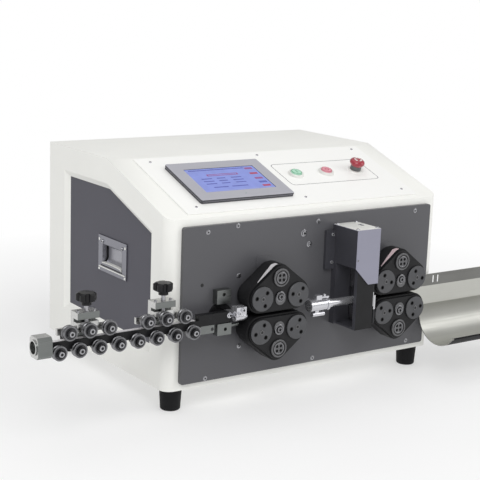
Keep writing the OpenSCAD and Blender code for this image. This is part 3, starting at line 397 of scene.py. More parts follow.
def stack(bm, rings, at, count, look=0):
    """Closed skin through rings of (height, radius); gives back its last face."""
    loops = [round_loop(bm, radius, height, at, count) for height, radius in rings]
    for a, b in zip(loops, loops[1:]):
        band(bm, a, b, look)
    bm.faces.new(loops[0][::-1]).material_index = look
    last = bm.faces.new(loops[-1])
    last.material_index = look
    return last


def ring(bm, profile, at, count=48, look=0):
    """Closed ring from a closed profile of (radius, height)."""
    loops = [round_loop(bm, radius, height, at, count) for radius, height in profile]
    for a, b in zip(loops, loops[1:] + loops[:1]):
        band(bm, a, b, look)


def hoop(bm, steps, at):
    """Closed frame through (outline, height) steps, all outlines with as many points."""
    loops = [flat_loop(bm, outline, height, at) for outline, height in steps]
    for a, b in zip(loops, loops[1:] + loops[:1]):
        band(bm, a, b)


def slab(bm, outline, low, high, at, look=0):
    """Prism over an outline, from low to high along local Z."""
    lower, upper = flat_loop(bm, outline, low, at), flat_loop(bm, outline, high, at)
    bm.faces.new(lower[::-1]).material_index = look
    bm.faces.new(upper).material_index = look
    band(bm, lower, upper, look)


def hexagon(across):
    """Radius function of a hexagon with this width across flats."""
    sector = math.pi / 3
    return lambda a: across / 2 / math.cos((a % sector) - sector / 2)


def knurled(r, depth, teeth):
    """Radius function of a ring with fine teeth."""
    return lambda a: r + depth * math.copysign(abs(math.sin(teeth * a)) ** 0.5, math.sin(teeth * a))


def rounded(w, h, r, steps=5):
    """Outline of a rounded rectangle."""
    points = []
    for cx, cy, start in ((1, 1, 0), (-1, 1, 90), (-1, -1, 180), (1, -1, 270)):
        for i in range(steps + 1):
            x, y = polar(r, math.radians(start + 90 * i / steps))
            points.append((cx * (w / 2 - r) + x, cy * (h / 2 - r) + y))
    return points


def socket_screw(bm, at, r, h, washer=0.0, look=0):
    """Button or cap head screw; its hexagon socket has the second of the piece's looks, which paints shade into
    it.
    """
    if washer:
        stack(bm, [(-0.2, washer), (0.5, washer), (0.7, washer - 0.3), (0.7, r * 0.9)], at, 28, look)
    key = hexagon(r)
    head = [(-0.3, r), (h * 0.72, r), (h * 0.94, r * 0.92), (h, r * 0.8), (h, key), (h * 0.45, key)]
    stack(bm, head, at, 24, look).material_index = 1


def soften(node, width, looks, pick=None, split=None):
    """A twin of a CAD node with its sharp edges rounded, which stands for it.

    pick gives each face's place in looks from its middle and normal, split is a height at which faces part.
    """
    bm = bmesh.new()
    bm.from_mesh(nodes[node].data)
    bmesh.ops.remove_doubles(bm, verts=bm.verts, dist=WELD)
    bmesh.ops.dissolve_limit(bm, angle_limit=FLAT, verts=bm.verts, edges=bm.edges)
    if split:
        everything = bm.verts[:] + bm.edges[:] + bm.faces[:]
        bmesh.ops.bisect_plane(bm, geom=everything, plane_co=(0, 0, split), plane_no=(0, 0, 1))
    bmesh.ops.recalc_face_normals(bm, faces=bm.faces)
    crisp = [e for e in bm.edges if len(e.link_faces) == 2 and e.calc_face_angle(0) > CRISP]
    if width:
        bmesh.ops.bevel(bm, geom=crisp, offset=width * MM, offset_type="OFFSET", segments=2, profile=0.5,
                        affect="EDGES", clamp_overlap=True)
    if pick:
        for face in bm.faces:
            face.material_index = int(pick(face.calc_center_median(), face.normal))
    made = piece(node + "_skin", bm, looks, body_of[node], weighted=True)
    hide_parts(node)


# Skins of the CAD nodes, with the width of their rounded edges; what is inside the cabinet stays sharp

EDGE_W = 0.4
EDGE = {"housing_shell": 2.0, "front_plate": 0.8, "access_panels": 0.3, "feet": 0.8, "control_plate": 0.5,
        "straightener_bar": 0.5, "start_button": 0.3, "stop_button": 0.3,
        "drive_units": 0, "electronics": 0, "cutter_screw": 0}
ROLLERS = [n for n in nodes if "_roller_" in n and not n.endswith("carrier")]
PULLEYS = [n for n in nodes if n.endswith("_pulley")]
DRIVES = [n for n in nodes if n.endswith("_drive")]
KNOBS = ("left_knob", "right_knob")
CARRIERS = ("left_roller_carrier", "right_roller_carrier")
CARRIAGES = ("left_upper_carriage", "right_upper_carriage", "lower_carriages")
roller_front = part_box(ROLLERS[0])[0].y
axle_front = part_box(CARRIERS[0])[0].y

# Holes in the fronts of pulleys: reach of the front, and how deep walls start, floors start and both end
PULLEY_FACE_R, CAP_FACE_R = 19, 13
HOLE_SKIN, HOLE_FLOOR, HOLE_END = 0.4, 0.9, 6
# Where the second look starts on other pieces
BOSS_OUT = 1.9
KNOB_HEAD, STEM_R = 24 * MM, 3.9 * MM
STOP_NECK = slope_top("emergency_stop") - 13
HEAD_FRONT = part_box("cutter_frame")[0].y + 3 * MM
WIRE_Z = joint_at("tube_swing").z
GUIDE_LOW, GUIDE_TOP = WIRE_Z - 9.4 * MM, WIRE_Z + 18.1 * MM
UPPER_EDGE, LOWER_EDGE = WIRE_Z + 16 * MM, WIRE_Z - 16 * MM

# Tray: middle of its trough, end of its front lip, crease above the trough, foot of the wall's band of painted
# shade
TRAY_Y, TRAY_Z = FRONT_Y - 63.7 * MM, BASE_Z + 75 * MM
TRAY_LIP = TRAY_Y - 8 * MM
TRAY_CREASE = TRAY_Z + 14.7 * MM
SHADE_BAND_SHARE = 0.32
tray_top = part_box("wire_tray")[1].z
TRAY_SHADE_FOOT = tray_top - SHADE_BAND_SHARE * (tray_top - TRAY_Z)


def from_axis(node, point):
    """Distance of a point from a turning node's axis, in millimetres."""
    centre = joint_at(node + "_spin")
    return math.hypot(point.x - centre.x, point.z - centre.z) / MM


def painted_hole_shade(node, rim):
    """Second look, painted shade, for the hole walls and floors of a pulley's front, inside a radius."""
    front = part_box(node)[0].y

    def pick(c, n):
        depth = (c.y - front) / MM
        floor = n.y < -0.5 and HOLE_FLOOR < depth < HOLE_END
        wall = abs(n.y) < 0.3 and HOLE_SKIN < depth < HOLE_END
        return from_axis(node, c) < rim and (floor or wall)
    return pick


def boss_look(node):
    """Second look for the bosses that stand out of a carriage's cheek."""
    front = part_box(node)[0].y
    return lambda c, n: (c.y - front) / MM < BOSS_OUT


def stem_look(node):
    """Second look for the bare steel stem under a knob."""
    axis = joint_at(node + "_turn")
    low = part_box(node)[1].z - KNOB_HEAD
    return lambda c, n: c.z < low and math.hypot(c.x - axis.x, c.y - axis.y) < STEM_R


def tray_look(c, n):
    """Looks of the tray: its trough, painted shade on its outer side below the front lip, painted light on the
    wall's lower part and painted shade on its upper band.
    """
    outer = (c.y - TRAY_Y) * n.y + (c.z - TRAY_Z) * n.z > 0
    if outer and c.y < TRAY_LIP and c.z < TRAY_Z:
        return 1
    if n.y < -0.9 and c.z > TRAY_CREASE:
        return 3 if c.z > TRAY_SHADE_FOOT else 2
    return 0


SPECIAL = {
    "inlet_guide": (0.5, ["tube_chrome", "block_face"], lambda c, n: not GUIDE_LOW < c.z < GUIDE_TOP),
    # The straightener blocks' front faces carry painted shade.
    "straightener_blocks": (0.6, ["bright_aluminium", "block_face"], lambda c, n: n.y < -0.6),
    "cutter_frame": (0.8, ["frame_paint", "belt_rubber"], lambda c, n: c.y < HEAD_FRONT and n.y < -0.6),
    "cutter_cover": (0.8, ["cover_paint", "cover_top"], lambda c, n: n.z > 0.5),
    "upper_blade": (0.2, ["tool_steel", "blade_shank"], lambda c, n: c.z > UPPER_EDGE, UPPER_EDGE),
    "lower_blade": (0.2, ["tool_steel", "blade_shank"], lambda c, n: c.z < LOWER_EDGE, LOWER_EDGE),
    # The tray's wall carries painted light and painted shade, its outer side below the lip painted shade.
    "wire_tray": (0.15, ["tray_steel", "tray_dark", "tray_light", "tray_band"], tray_look, TRAY_SHADE_FOOT),
    # The touch panel's sides carry painted shade.
    "touch_panel": (0.8, ["bezel_plastic", "bezel_side"], lambda c, n: n.dot(SLOPE_N) <= 0.5),
    "emergency_stop": (0.8, ["emergency_red", "cap_metal"], lambda c, n: slope_height(c) < STOP_NECK),
}
for name in KNOBS:
    SPECIAL[name] = (0.4, ["knob_plastic", "bolt_steel"], stem_look(name))
for name in CARRIERS:
    SPECIAL[name] = (0.4, ["bright_aluminium", "shield_dark"], lambda c, n: c.y < roller_front)
# Pulleys and drive caps get painted shade in the holes of their fronts.
for name in PULLEYS:
    SPECIAL[name] = (0.3, ["pulley_aluminium", "socket_dark"], painted_hole_shade(name, PULLEY_FACE_R))
for name in DRIVES:
    SPECIAL[name] = (0.3, ["cap_metal", "socket_dark"], painted_hole_shade(name, CAP_FACE_R))
for name in CARRIAGES:
    SPECIAL[name] = (0.5, ["black_metal", "cap_metal"], boss_look(name))
for name in nodes:
    if name in SPECIAL:
        soften(name, *SPECIAL[name])
    else:
        soften(name, EDGE.get(name, EDGE_W), [slot_of[name]])


# Straightener: shields on the rollers, bolts on their axles, screws in the blocks

SHIELD = [(7.1, -0.3), (7.1, 0.12), (7.5, 0.25), (9.2, 0.25), (9.6, 0.1), (9.6, -0.3)]
LIP = [(9.9, -0.3), (9.9, 0.18), (10.1, 0.3), (10.9, 0.3), (11.1, 0.18), (11.1, -0.3)]
BRIDGE_SCREW_X, BRIDGE_SCREW_IN = 14, 5

bolts = {}
for name in ROLLERS:
    axis = joint_at(name + "_spin")
    at = front_face(axis.x, roller_front, axis.z)
    bm = bmesh.new()
    ring(bm, SHIELD, at, 40, 0)
    ring(bm, LIP, at, 40, 1)
    piece(name + "_shield", bm, ["shield_dark", "roller_steel"], body_of[name])
    holder = MAIN if name.startswith("lower") else name.split("_")[0] + "_carrier"
    if holder not in bolts:
        bolts[holder] = bmesh.new()
    socket_screw(bolts[holder], front_face(axis.x, axle_front, axis.z), r=4.7, h=2.4)
for holder, bm in bolts.items():
    piece(holder + "_roller_bolts", bm, STEEL_SCREW, holder)

block_lo, block_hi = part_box("straightener_blocks")
carrier_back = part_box("left_roller_carrier")[1].y
bm = bmesh.new()
for name in KNOBS:
    centre = joint_at(name + "_turn")
    for x in (-BRIDGE_SCREW_X, BRIDGE_SCREW_X):
        at = top_face(centre.x + x * MM, carrier_back - BRIDGE_SCREW_IN * MM, block_hi.z)
        socket_screw(bm, at, r=2.6, h=2.2)
piece("bridge_screws", bm, STEEL_SCREW)


# Painted highlight on the bar as a thin pale strip, screws of the inlet guide's clamp and of the guide tube's stop

feed_x = joint_at("left_upper_drive_spin").x
swing = joint_at("tube_swing")
bar_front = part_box("lower_roller_1")[1].y + 0.5 * MM
WIRE_Y = FRONT_Y - 47 * MM
CLAMP_Y = WIRE_Y - 8 * MM
GUIDE_X = feed_x - 85.5 * MM
STRIP_X0, STRIP_X1 = block_lo.x + 26 * MM, feed_x - 156 * MM
STRIP_Y, STRIP_Z, STRIP_W = bar_front + 7 * MM, WIRE_Z + 1 * MM, 8
# Screws of the clamp, (x, z, radius) from the guide's middle and the wire, of the lug and of the tube's stop
CLAMP_SCREWS = ((13, 13, 4.2), (5, 8, 2.4))
LUG_X, LUG_Z = GUIDE_X - 5 * MM, WIRE_Z + 3 * MM
STOP_X, STOP_Z = swing.x + 20 * MM, WIRE_Z + 14.5 * MM

bm = bmesh.new()
at = Matrix.Translation(((STRIP_X0 + STRIP_X1) / 2, STRIP_Y, STRIP_Z))
slab(bm, rounded((STRIP_X1 - STRIP_X0) / MM, STRIP_W, 1, 2), -0.1, 0.5, at)
piece("bar_painted_highlight", bm, ["painted_highlight_steel"])
bm = bmesh.new()
for x, z, r in CLAMP_SCREWS:
    socket_screw(bm, front_face(GUIDE_X + x * MM, CLAMP_Y, WIRE_Z + z * MM), r, h=3.2)
socket_screw(bm, front_face(LUG_X, bar_front, LUG_Z), r=3.8, h=3.0, washer=5.0)
piece("inlet_guide_screws", bm, CHROME_SCREW)
bm = bmesh.new()
socket_screw(bm, top_face(STOP_X, WIRE_Y, STOP_Z), r=2.8, h=4.0)
piece("guide_tube_screw", bm, CHROME_SCREW, body_of["guide_tube"])


# Belt feeds: bolts in the middle bosses, rims of the drive caps, slot covers, the pulleys' centres and bushes

BOLT_SEAT = [(6.6, -0.4), (6.6, 0.5), (7.0, 0.8), (8.8, 0.8), (9.4, 0.3), (9.4, -0.4)]
BOLT_FLOOR = [(-0.3, 6.5), (0.15, 6.5)]
TOOTH, TEETH = 0.3, 30
CAP_RIM = [(13.0, -0.4), (13.0, 0.2), (13.4, 0.4), (knurled(15.0, TOOTH, TEETH), 0.4),
           (knurled(15.6, TOOTH, TEETH), 0.0), (knurled(15.6, TOOTH, TEETH), -0.4)]
CAP_RING = [(8.5, -0.9), (8.5, -0.1), (8.8, 0.15), (10.3, 0.15), (10.6, -0.1), (10.6, -0.9)]
CAP_GROOVE = [(10.6, -0.9), (10.6, -0.5), (13.0, -0.5), (13.0, -0.9)]
COVER_W, COVER_H, COVER_R, COVER_UP = 33, 19, 2, 17 * MM
COVER_LOW, COVER_TOP = 0.15, 0.9
CENTRE_RIM = [(2.4, -0.3), (2.4, 0.3), (2.7, 0.5), (4.0, 0.5), (4.4, 0.2), (4.4, -0.3)]
CENTRE_FLOOR = [(-0.2, 2.3), (0.1, 2.3)]
BUSH = [(2.9, -0.6), (2.9, 0.02), (3.2, 0.06), (4.0, 0.06), (4.1, -0.2)]
# Holes of an end pulley: how many, share of its radius at which they sit, reach of their rims
HOLES, HOLE_SHARE, HOLE_REACH = 3, 0.6, 3.4


def middle_bolt(feed, carriage):
    """Bolt with its ring on the boss in the middle of a carriage, and painted shade inside the ring."""
    x, z = joint_at(feed + "_drive_spin").x, joint_at(feed + "_inlet_pulley_spin").z
    at = front_face(x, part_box(carriage)[0].y, z)
    bm = bmesh.new()
    ring(bm, BOLT_SEAT, at, 48, 0)
    stack(bm, BOLT_FLOOR, at, 40, 1)
    socket_screw(bm, at, r=5.0, h=2.6)
    piece(feed + "_middle_bolt", bm, ["roller_steel", "socket_dark"], body_of[carriage])


def cap_rim(cap):
    """Knurled rim, groove with painted shade and inner ring on a drive pulley's cap."""
    axis = joint_at(cap + "_spin")
    at = front_face(axis.x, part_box(cap)[0].y, axis.z)
    bm = bmesh.new()
    ring(bm, CAP_RIM, at, 180, 0)
    ring(bm, CAP_RING, at, 60, 1)
    ring(bm, CAP_GROOVE, at, 60, 2)
    piece(cap + "_rim", bm, ["cap_metal", "roller_steel", "socket_dark"], body_of[cap])


def slot_cover(side):
    """Cover over the slot of the front plate that an upper feed slides in."""
    drive = joint_at(side + "_upper_drive_spin")
    at = front_face(drive.x, PLATE_Y, drive.z + COVER_UP)
    bm = bmesh.new()
    slab(bm, rounded(COVER_W, COVER_H, COVER_R, 3), COVER_LOW, COVER_TOP, at)
    piece(side + "_slot_cover", bm, ["plate_paint"], body_of[side + "_upper_carriage"])


def first_hole(node):
    """Radius and angle of one of a pulley's holes, from the points of their rims on its front."""
    axis = joint_at(node + "_spin")
    low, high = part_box(node)
    reach = HOLE_SHARE * (high.x - low.x) / 2 / MM
    at = front_face(axis.x, low.y, axis.z).inverted()
    local = [at @ v.co / MM for v in nodes[node].data.vertices]
    on_rim = [p for p in local if abs(p.z) < 0.05 and abs(p.xy.length - reach) < HOLE_REACH]
    turns = [HOLES * math.atan2(p.y, p.x) for p in on_rim]
    return reach, math.atan2(sum(map(math.sin, turns)), sum(map(math.cos, turns))) / HOLES


def pulley_centre(node):
    """Ring round a pulley's axle with painted shade in its middle, and bushes in its holes that are dark with
    painted shade.
    """
    axis = joint_at(node + "_spin")
    at = front_face(axis.x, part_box(node)[0].y, axis.z)
    bm = bmesh.new()
    ring(bm, CENTRE_RIM, at, 32, 0)
    stack(bm, CENTRE_FLOOR, at, 24, 1)
    reach, turn = first_hole(node)
    for i in range(HOLES):
        ring(bm, BUSH, moved(at, *polar(reach, turn + i * 2 * math.pi / HOLES)), 28, 1)
    piece(node + "_centre", bm, ["cap_metal", "socket_dark"], body_of[node])


for side in ("left", "right"):
    for level in ("upper", "lower"):
        feed = f"{side}_{level}"
        middle_bolt(feed, "lower_carriages" if level == "lower" else feed + "_carriage")
        cap_rim(feed + "_drive")
        if level == "upper":
            slot_cover(side)
        for end in ("inlet", "outlet"):
            pulley_centre(f"{feed}_{end}_pulley")


# Painted highlights on the upper belts as thin pale strips: up the flank, then part of the way round the drive
# pulley

DRIVE_R, BELT_T = 16.5, 6.5
BELT_R = DRIVE_R + BELT_T
FLANK_START, FLANK_STEPS = 0.30, 6
ROUND_TURN, ROUND_STEPS = math.radians(34), 6
# Width of a strip: at its foot, its gain, where the gain is whole, where it tapers and by which share
NARROW, WIDEN, WIDE_AT, TAPER_AT, TAPER = 1.2, 8.5, 0.8, 0.75, 0.35
STRIP_IN, STRIP_LOW, STRIP_TOP = 0.2, 0.15, 0.6


def belt_painted_highlight(side, look):
    """Thin pale strip, a painted highlight, that lies on the flank of an upper belt and widens towards the top."""
    belt = side + "_upper_belt"
    drive = joint_at(side + "_upper_drive_spin")
    end = joint_at(side + "_upper_inlet_pulley_spin")
    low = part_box(belt)[0]
    end_r = (end.x - low.x) / MM
    along = Vector((drive.x - end.x, 0, drive.z - end.z)) / MM
    lean = math.atan2(along.z, along.x) + math.pi / 2 + math.asin((end_r - BELT_R) / along.length)

    def on_belt(centre, r, turn):
        x, z = polar(r, turn)
        return Vector((centre.x / MM + x, 0, centre.z / MM + z))

    foot, head = on_belt(end, end_r, lean), on_belt(drive, BELT_R, lean)
    path = []
    for i in range(FLANK_STEPS + 1):
        path.append((foot.lerp(head, FLANK_START + (1 - FLANK_START) * i / FLANK_STEPS), lean))
    for i in range(1, ROUND_STEPS + 1):
        turn = lean - ROUND_TURN * i / ROUND_STEPS
        path.append((on_belt(drive, BELT_R, turn), turn))
    bm = bmesh.new()
    rows = []
    for i, (point, turn) in enumerate(path):
        share = i / (len(path) - 1)
        swell = math.sin(min(1.0, share / WIDE_AT) * math.pi / 2)
        width = NARROW + WIDEN * swell * (1 - TAPER * max(0, share - TAPER_AT) / (1 - TAPER_AT))
        normal = Vector((math.cos(turn), 0, math.sin(turn)))
        row = []
        for y, h in ((STRIP_IN, STRIP_LOW), (STRIP_IN, STRIP_TOP), (width, STRIP_TOP), (width, STRIP_LOW)):
            place = (point + normal * h) * MM
            place.y = low.y + y * MM
            row.append(bm.verts.new(place))
        rows.append(row)
    for a, b in zip(rows, rows[1:]):
        band(bm, a, b)
    bm.faces.new(rows[0])
    bm.faces.new(rows[-1][::-1])
    piece(side + "_belt_painted_highlight", bm, [look], body_of[belt])


belt_painted_highlight("left", "painted_highlight_steel")
belt_painted_highlight("right", "painted_highlight_rose")


# Screws of the front plate and the control plate

FACE_N = PANEL_T / MM
PLATE_SCREWS = ((-227, 272), (5, 272), (235, 273), (-157, 65), (-225, 17), (6, 19), (232, 20), (-162, 191),
                (-167, 278))
# (x, z, radius) of the two larger screws left of the cutter
LARGE_SCREWS = ((-26, 253, 4.6), (-13, 232, 3.6))
# A disc of painted shade stands for a hole in the front plate
PLATE_HOLE, HOLE_SHADE_DISC = (-236, 182), [(-0.3, 3.2), (0.12, 3.2), (0.12, 2.8)]
SLOPE_SCREWS = ((-228, 197), (5, 199), (235, 199), (-227, 33), (6, 35), (233, 34))

bm = bmesh.new()
for x, z in PLATE_SCREWS:
    socket_screw(bm, front_at(x, z), r=3.0, h=1.6, washer=4.2)
for x, z, r in LARGE_SCREWS:
    socket_screw(bm, front_at(x, z), r, h=3.0, washer=r + 1.8)
stack(bm, HOLE_SHADE_DISC, front_at(*PLATE_HOLE), 24, 1)
piece("front_plate_screws", bm, STEEL_SCREW)
bm = bmesh.new()
for x, v in SLOPE_SCREWS:
    socket_screw(bm, slope_at(x, v, FACE_N), r=2.6, h=1.2)
piece("control_plate_screws", bm, CHROME_SCREW)


# Cutter: screws of its cover and flange

COVER_IN_X, COVER_IN_Y = 5 * MM, 6 * MM
FLANGE_X, FLANGE_Z, FLANGE_OUT = 35, (246, 195.5), 6
COVER_PIN = (44, 210)

cover_lo, cover_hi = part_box("cutter_cover")
bm = bmesh.new()
for x in (cover_lo.x + COVER_IN_X, cover_hi.x - COVER_IN_X):
    for y in (cover_lo.y + COVER_IN_Y, cover_hi.y - COVER_IN_Y):
        socket_screw(bm, top_face(x, y, cover_hi.z), r=2.8, h=2.0, washer=3.6)
piece("cover_screws", bm, CHROME_SCREW)
bm = bmesh.new()
for z in FLANGE_Z:
    socket_screw(bm, front_at(FLANGE_X, z, FLANGE_OUT), r=3.0, h=1.8, look=2)
socket_screw(bm, front_at(*COVER_PIN, (PLATE_Y - cover_lo.y) / MM), r=1.8, h=0.9)
piece("cutter_screws", bm, STEEL_SCREW + ["tube_chrome"])


# Controls: rings and marks of the buttons, printed line round them

# Each button's ring: inner and outer radius, height
BUTTON_RINGS = {"start_button": (11.0, 15.3, 4.8), "stop_button": (11.0, 15.3, 4.8),
                "emergency_stop": (9.2, 15.4, 2.2)}
BAR_W, BAR_H, BAR_R = 2.0, 8.5, 0.7
PRINT_LOW, PRINT_TOP = -0.1, 0.06
MARK_RIM = [(8.9, -0.3), (8.9, 0.06), (10.0, 0.02), (10.0, -0.3)]
STOP_RING = [(2.8, -0.1), (2.8, 0.06), (4.4, 0.06), (4.4, -0.1)]
# Arrows on the emergency stop: where each starts, its sweep and tip in degrees, radii, heights below the top
ARROWS, ARROW_SWEEP, ARROW_TIP, ARROW_STEPS = (20, 140, 260), 62, 94, 10
ARROW_IN, ARROW_OUT, HEAD_IN, HEAD_MID, HEAD_OUT = 5.4, 7.4, 4.0, 6.4, 8.8
ARROW_LOW, ARROW_TOP = -1.1, -0.35
LINE_X, LINE_V, LINE_W, LINE_H, LINE_R, LINE_T, LINE_TOP = 111.5, 119.5, 208, 81, 9, 1.1, 0.05


def on_button(node):
    """Matrix on the top of a button."""
    return slope_at(*slope_place(node), slope_top(node))


bm = bmesh.new()
for name, (inner, outer, up) in BUTTON_RINGS.items():
    profile = [(inner, -0.2), (inner, up - 0.5), (inner + 0.5, up), (outer - 1.4, up - 0.2),
               (outer - 0.3, up * 0.45), (outer, -0.2)]
    ring(bm, profile, slope_at(*slope_place(name), FACE_N), 56)
piece("button_rings", bm, ["cover_top"])

bm = bmesh.new()
slab(bm, rounded(BAR_W, BAR_H, BAR_R, 3), PRINT_LOW, PRINT_TOP, on_button("start_button"))
ring(bm, MARK_RIM, on_button("start_button"))
piece("start_mark", bm, ["mark_green"], "start_button")
bm = bmesh.new()
ring(bm, STOP_RING, on_button("stop_button"), 40)
ring(bm, MARK_RIM, on_button("stop_button"))
piece("stop_mark", bm, ["mark_red"], "stop_button")

at = on_button("emergency_stop")
bm = bmesh.new()
for start in ARROWS:
    angles = [math.radians(start + ARROW_SWEEP * i / ARROW_STEPS) for i in range(ARROW_STEPS + 1)]
    arc = [polar(ARROW_OUT, a) for a in angles] + [polar(ARROW_IN, a) for a in reversed(angles)]
    slab(bm, arc, ARROW_LOW, ARROW_TOP, at)
    tip = polar(HEAD_MID, math.radians(start + ARROW_TIP))
    slab(bm, [polar(HEAD_OUT, angles[-1]), tip, polar(HEAD_IN, angles[-1])], ARROW_LOW, ARROW_TOP, at)
piece("emergency_arrows", bm, ["mark_white"], "emergency_stop")

bm = bmesh.new()
line_out = rounded(LINE_W, LINE_H, LINE_R, 8)
line_in = rounded(LINE_W - 2 * LINE_T, LINE_H - 2 * LINE_T, LINE_R - LINE_T, 8)
at = slope_at(LINE_X, LINE_V, FACE_N)
hoop(bm, ((line_out, PRINT_LOW), (line_out, LINE_TOP), (line_in, LINE_TOP), (line_in, PRINT_LOW)), at)
piece("button_frame", bm, ["mark_dark"])


# Touch panel: a second frame on its bezel, which stands a little prouder than its solid, with painted shade on its
# sides, and the lit screen

SCREEN_W, SCREEN_H, SCREEN_IN, SCREEN_GAP = 148, 83, 0.8, 0.6
BEZEL_UP, BEZEL_EDGE, BEZEL_LOW = 3.0, 0.8, -1.0
RIM_R, RIM_IN_R, WINDOW_R = 3, 2.4, 1
LIGHT_W, LIGHT_H, LIGHT_R, LIGHT_DOWN = 3, 1.2, 0.5, 54
SCREEN_LOOKS = ["screen", "screen_bar", "screen_red", "screen_line", "screen_mid"]
PLAIN, BAR, RED, LINE, MID = range(len(SCREEN_LOOKS))
# Blocks on the screen: (x, v) from its middle, width, height, look and, where it is another one, their top
BLOCKS = [(-8, 36, 118, 3.2, MID), (-6, 17, 66, 6.5, BAR), (-6, 17, 60, 2.4, PLAIN, 0.14)]
BLOCKS += [(x, v, w, 3.0, MID) for v in (5, -4, -13) for x, w in ((-46, 22), (-16, 18), (16, 22))]
BLOCKS += [(-34, -26, 30, 3.0, MID), (6, -26, 34, 3.0, MID)]
BLOCKS += [(60, v, 17, 6.5, look) for v, look in ((33, BAR), (14, RED), (-4, BAR), (-18, MID), (-31, RED))]
BLOCKS += [(0, v, 140, 0.5, LINE) for v in (37.5, -37.5)]

touch_x, touch_v = slope_place("touch_panel")
touch_w, touch_h = slope_size("touch_panel")
touch_top = slope_top("touch_panel")
rim = rounded(touch_w, touch_h, RIM_R)
rim_in = rounded(touch_w - 2 * BEZEL_EDGE, touch_h - 2 * BEZEL_EDGE, RIM_IN_R)
window = rounded(SCREEN_W, SCREEN_H, WINDOW_R)
bm = bmesh.new()
hoop(bm, ((rim, BEZEL_LOW), (rim, BEZEL_UP - BEZEL_EDGE), (rim_in, BEZEL_UP), (window, BEZEL_UP),
          (window, BEZEL_LOW)), slope_at(touch_x, touch_v, touch_top))
bm.normal_update()
# Faces across the slope take the painted shade
for face in bm.faces:
    face.material_index = 0 if abs(face.normal.dot(SLOPE_N)) > 0.5 else 1
piece("panel_bezel", bm, ["bezel_plastic", "bezel_side"])


def screen_at(x, v):
    """Matrix on the glass, from the screen's middle."""
    return slope_at(touch_x + x, touch_v + v, touch_top + BEZEL_UP - SCREEN_IN)


def block(bm, x, v, w, h, look, top=0.10):
    """Plain block that stands for a word, a line or a key on the screen."""
    slab(bm, rounded(w, h, min(w, h) * 0.18, 2), 0.0, top, screen_at(x, v), look)


bm = bmesh.new()
glass = rounded(SCREEN_W - SCREEN_GAP, SCREEN_H - SCREEN_GAP, WINDOW_R, 2)
slab(bm, glass, -0.2, 0.06, screen_at(0, 0), PLAIN)
for values in BLOCKS:
    block(bm, *values)
piece("touch_screen", bm, SCREEN_LOOKS)
bm = bmesh.new()
at = slope_at(touch_x, touch_v - LIGHT_DOWN, touch_top + BEZEL_UP)
slab(bm, rounded(LIGHT_W, LIGHT_H, LIGHT_R, 3), PRINT_LOW, PRINT_TOP, at)
piece("panel_light", bm, ["screen_green"])


# Handles: formed cup with a slot at each end, rolled lip and rib below it, screws and rivets in the plate; painted
# shade in the slots, under the lip and in a line below it, painted highlights on the lip's top, the rib and the
# rivets

CUP_W, CUP_H, CUP_D, CUP_ROWS = 72, 36, 10, 16
# The higher the power, the tighter the cup's edge is bent
LOWER_BEND, UPPER_BEND = 4, 10
# Columns of the cup from end to end: place along its half width, share of its depth
CUP_COLUMNS = ((-1, 0), (-0.99, 0.9), (-0.98, 2), (-0.87, 2), (-0.85, 1), (-0.5, 1), (0, 1),
               (0.5, 1), (0.85, 1), (0.87, 2), (0.98, 2), (0.99, 0.9), (1, 0))
LIP_W, LIP_BOW, LIP_AT, LIP_STEPS = 70, 1.4, -15.6, 12
LIP_PROFILE = ((0, -6), (0, 0.4), (-0.5, 1.3), (-1.6, 1.9), (-3.0, 1.9), (-4.6, 1.1), (-5.0, -0.2))
# The lip's first faces take a painted highlight
LIP_HIGHLIGHT = 3
HANDLE_SCREWS = ((-36, 22), (36, 22))
# Pale rivets at the plate's corners, painted as the glints of its rounded corners
RIVETS = ((-47.5, 25), (-47.5, -29.5), (47.5, 25), (47.5, -29.5))
RIVET = [(-0.2, 2.4), (0.7, 2.4), (1.3, 1.7), (1.5, 0.6)]
# Line of painted shadow and rib with a painted highlight below the pocket: width, height and radius
SHADOW_LINE, SHADOW_LINE_X, SHADOW_LINE_Z, SHADOW_LINE_TOP = (80, 2.2, 0.8), -2, -22, 0.12
RIB, RIB_Z, RIB_TOP = (96, 1.8, 0.8), -25, 1.1
SUNK = -0.2
HANDLE_LOOKS = STEEL_SCREW + ["handle_chrome", "pocket_steel", "cover_top"]
PAINTED_SHADE, CHROME, POCKET, PAINTED_HIGHLIGHT = range(1, len(HANDLE_LOOKS))


def cup(bm, at):
    """Pocket of the handle, with a round lower edge; the slots' inner walls carry painted shade."""
    grid = []
    for u, share in CUP_COLUMNS:
        row = []
        for k in range(CUP_ROWS + 1):
            v = 2 * k / CUP_ROWS - 1
            depth = CUP_D * share * (1 - abs(v) ** (LOWER_BEND if v < 0 else UPPER_BEND))
            row.append(bm.verts.new(spot(at, u * CUP_W / 2, v * CUP_H / 2, -depth)))
        grid.append(row)
    for i, (a, b) in enumerate(zip(grid, grid[1:])):
        shallow, deep = sorted((CUP_COLUMNS[i][1], CUP_COLUMNS[i + 1][1]))
        look = PAINTED_SHADE if deep > 1 and shallow > 0 else POCKET
        for k in range(CUP_ROWS):
            bm.faces.new((a[k], b[k], b[k + 1], a[k + 1])).material_index = look


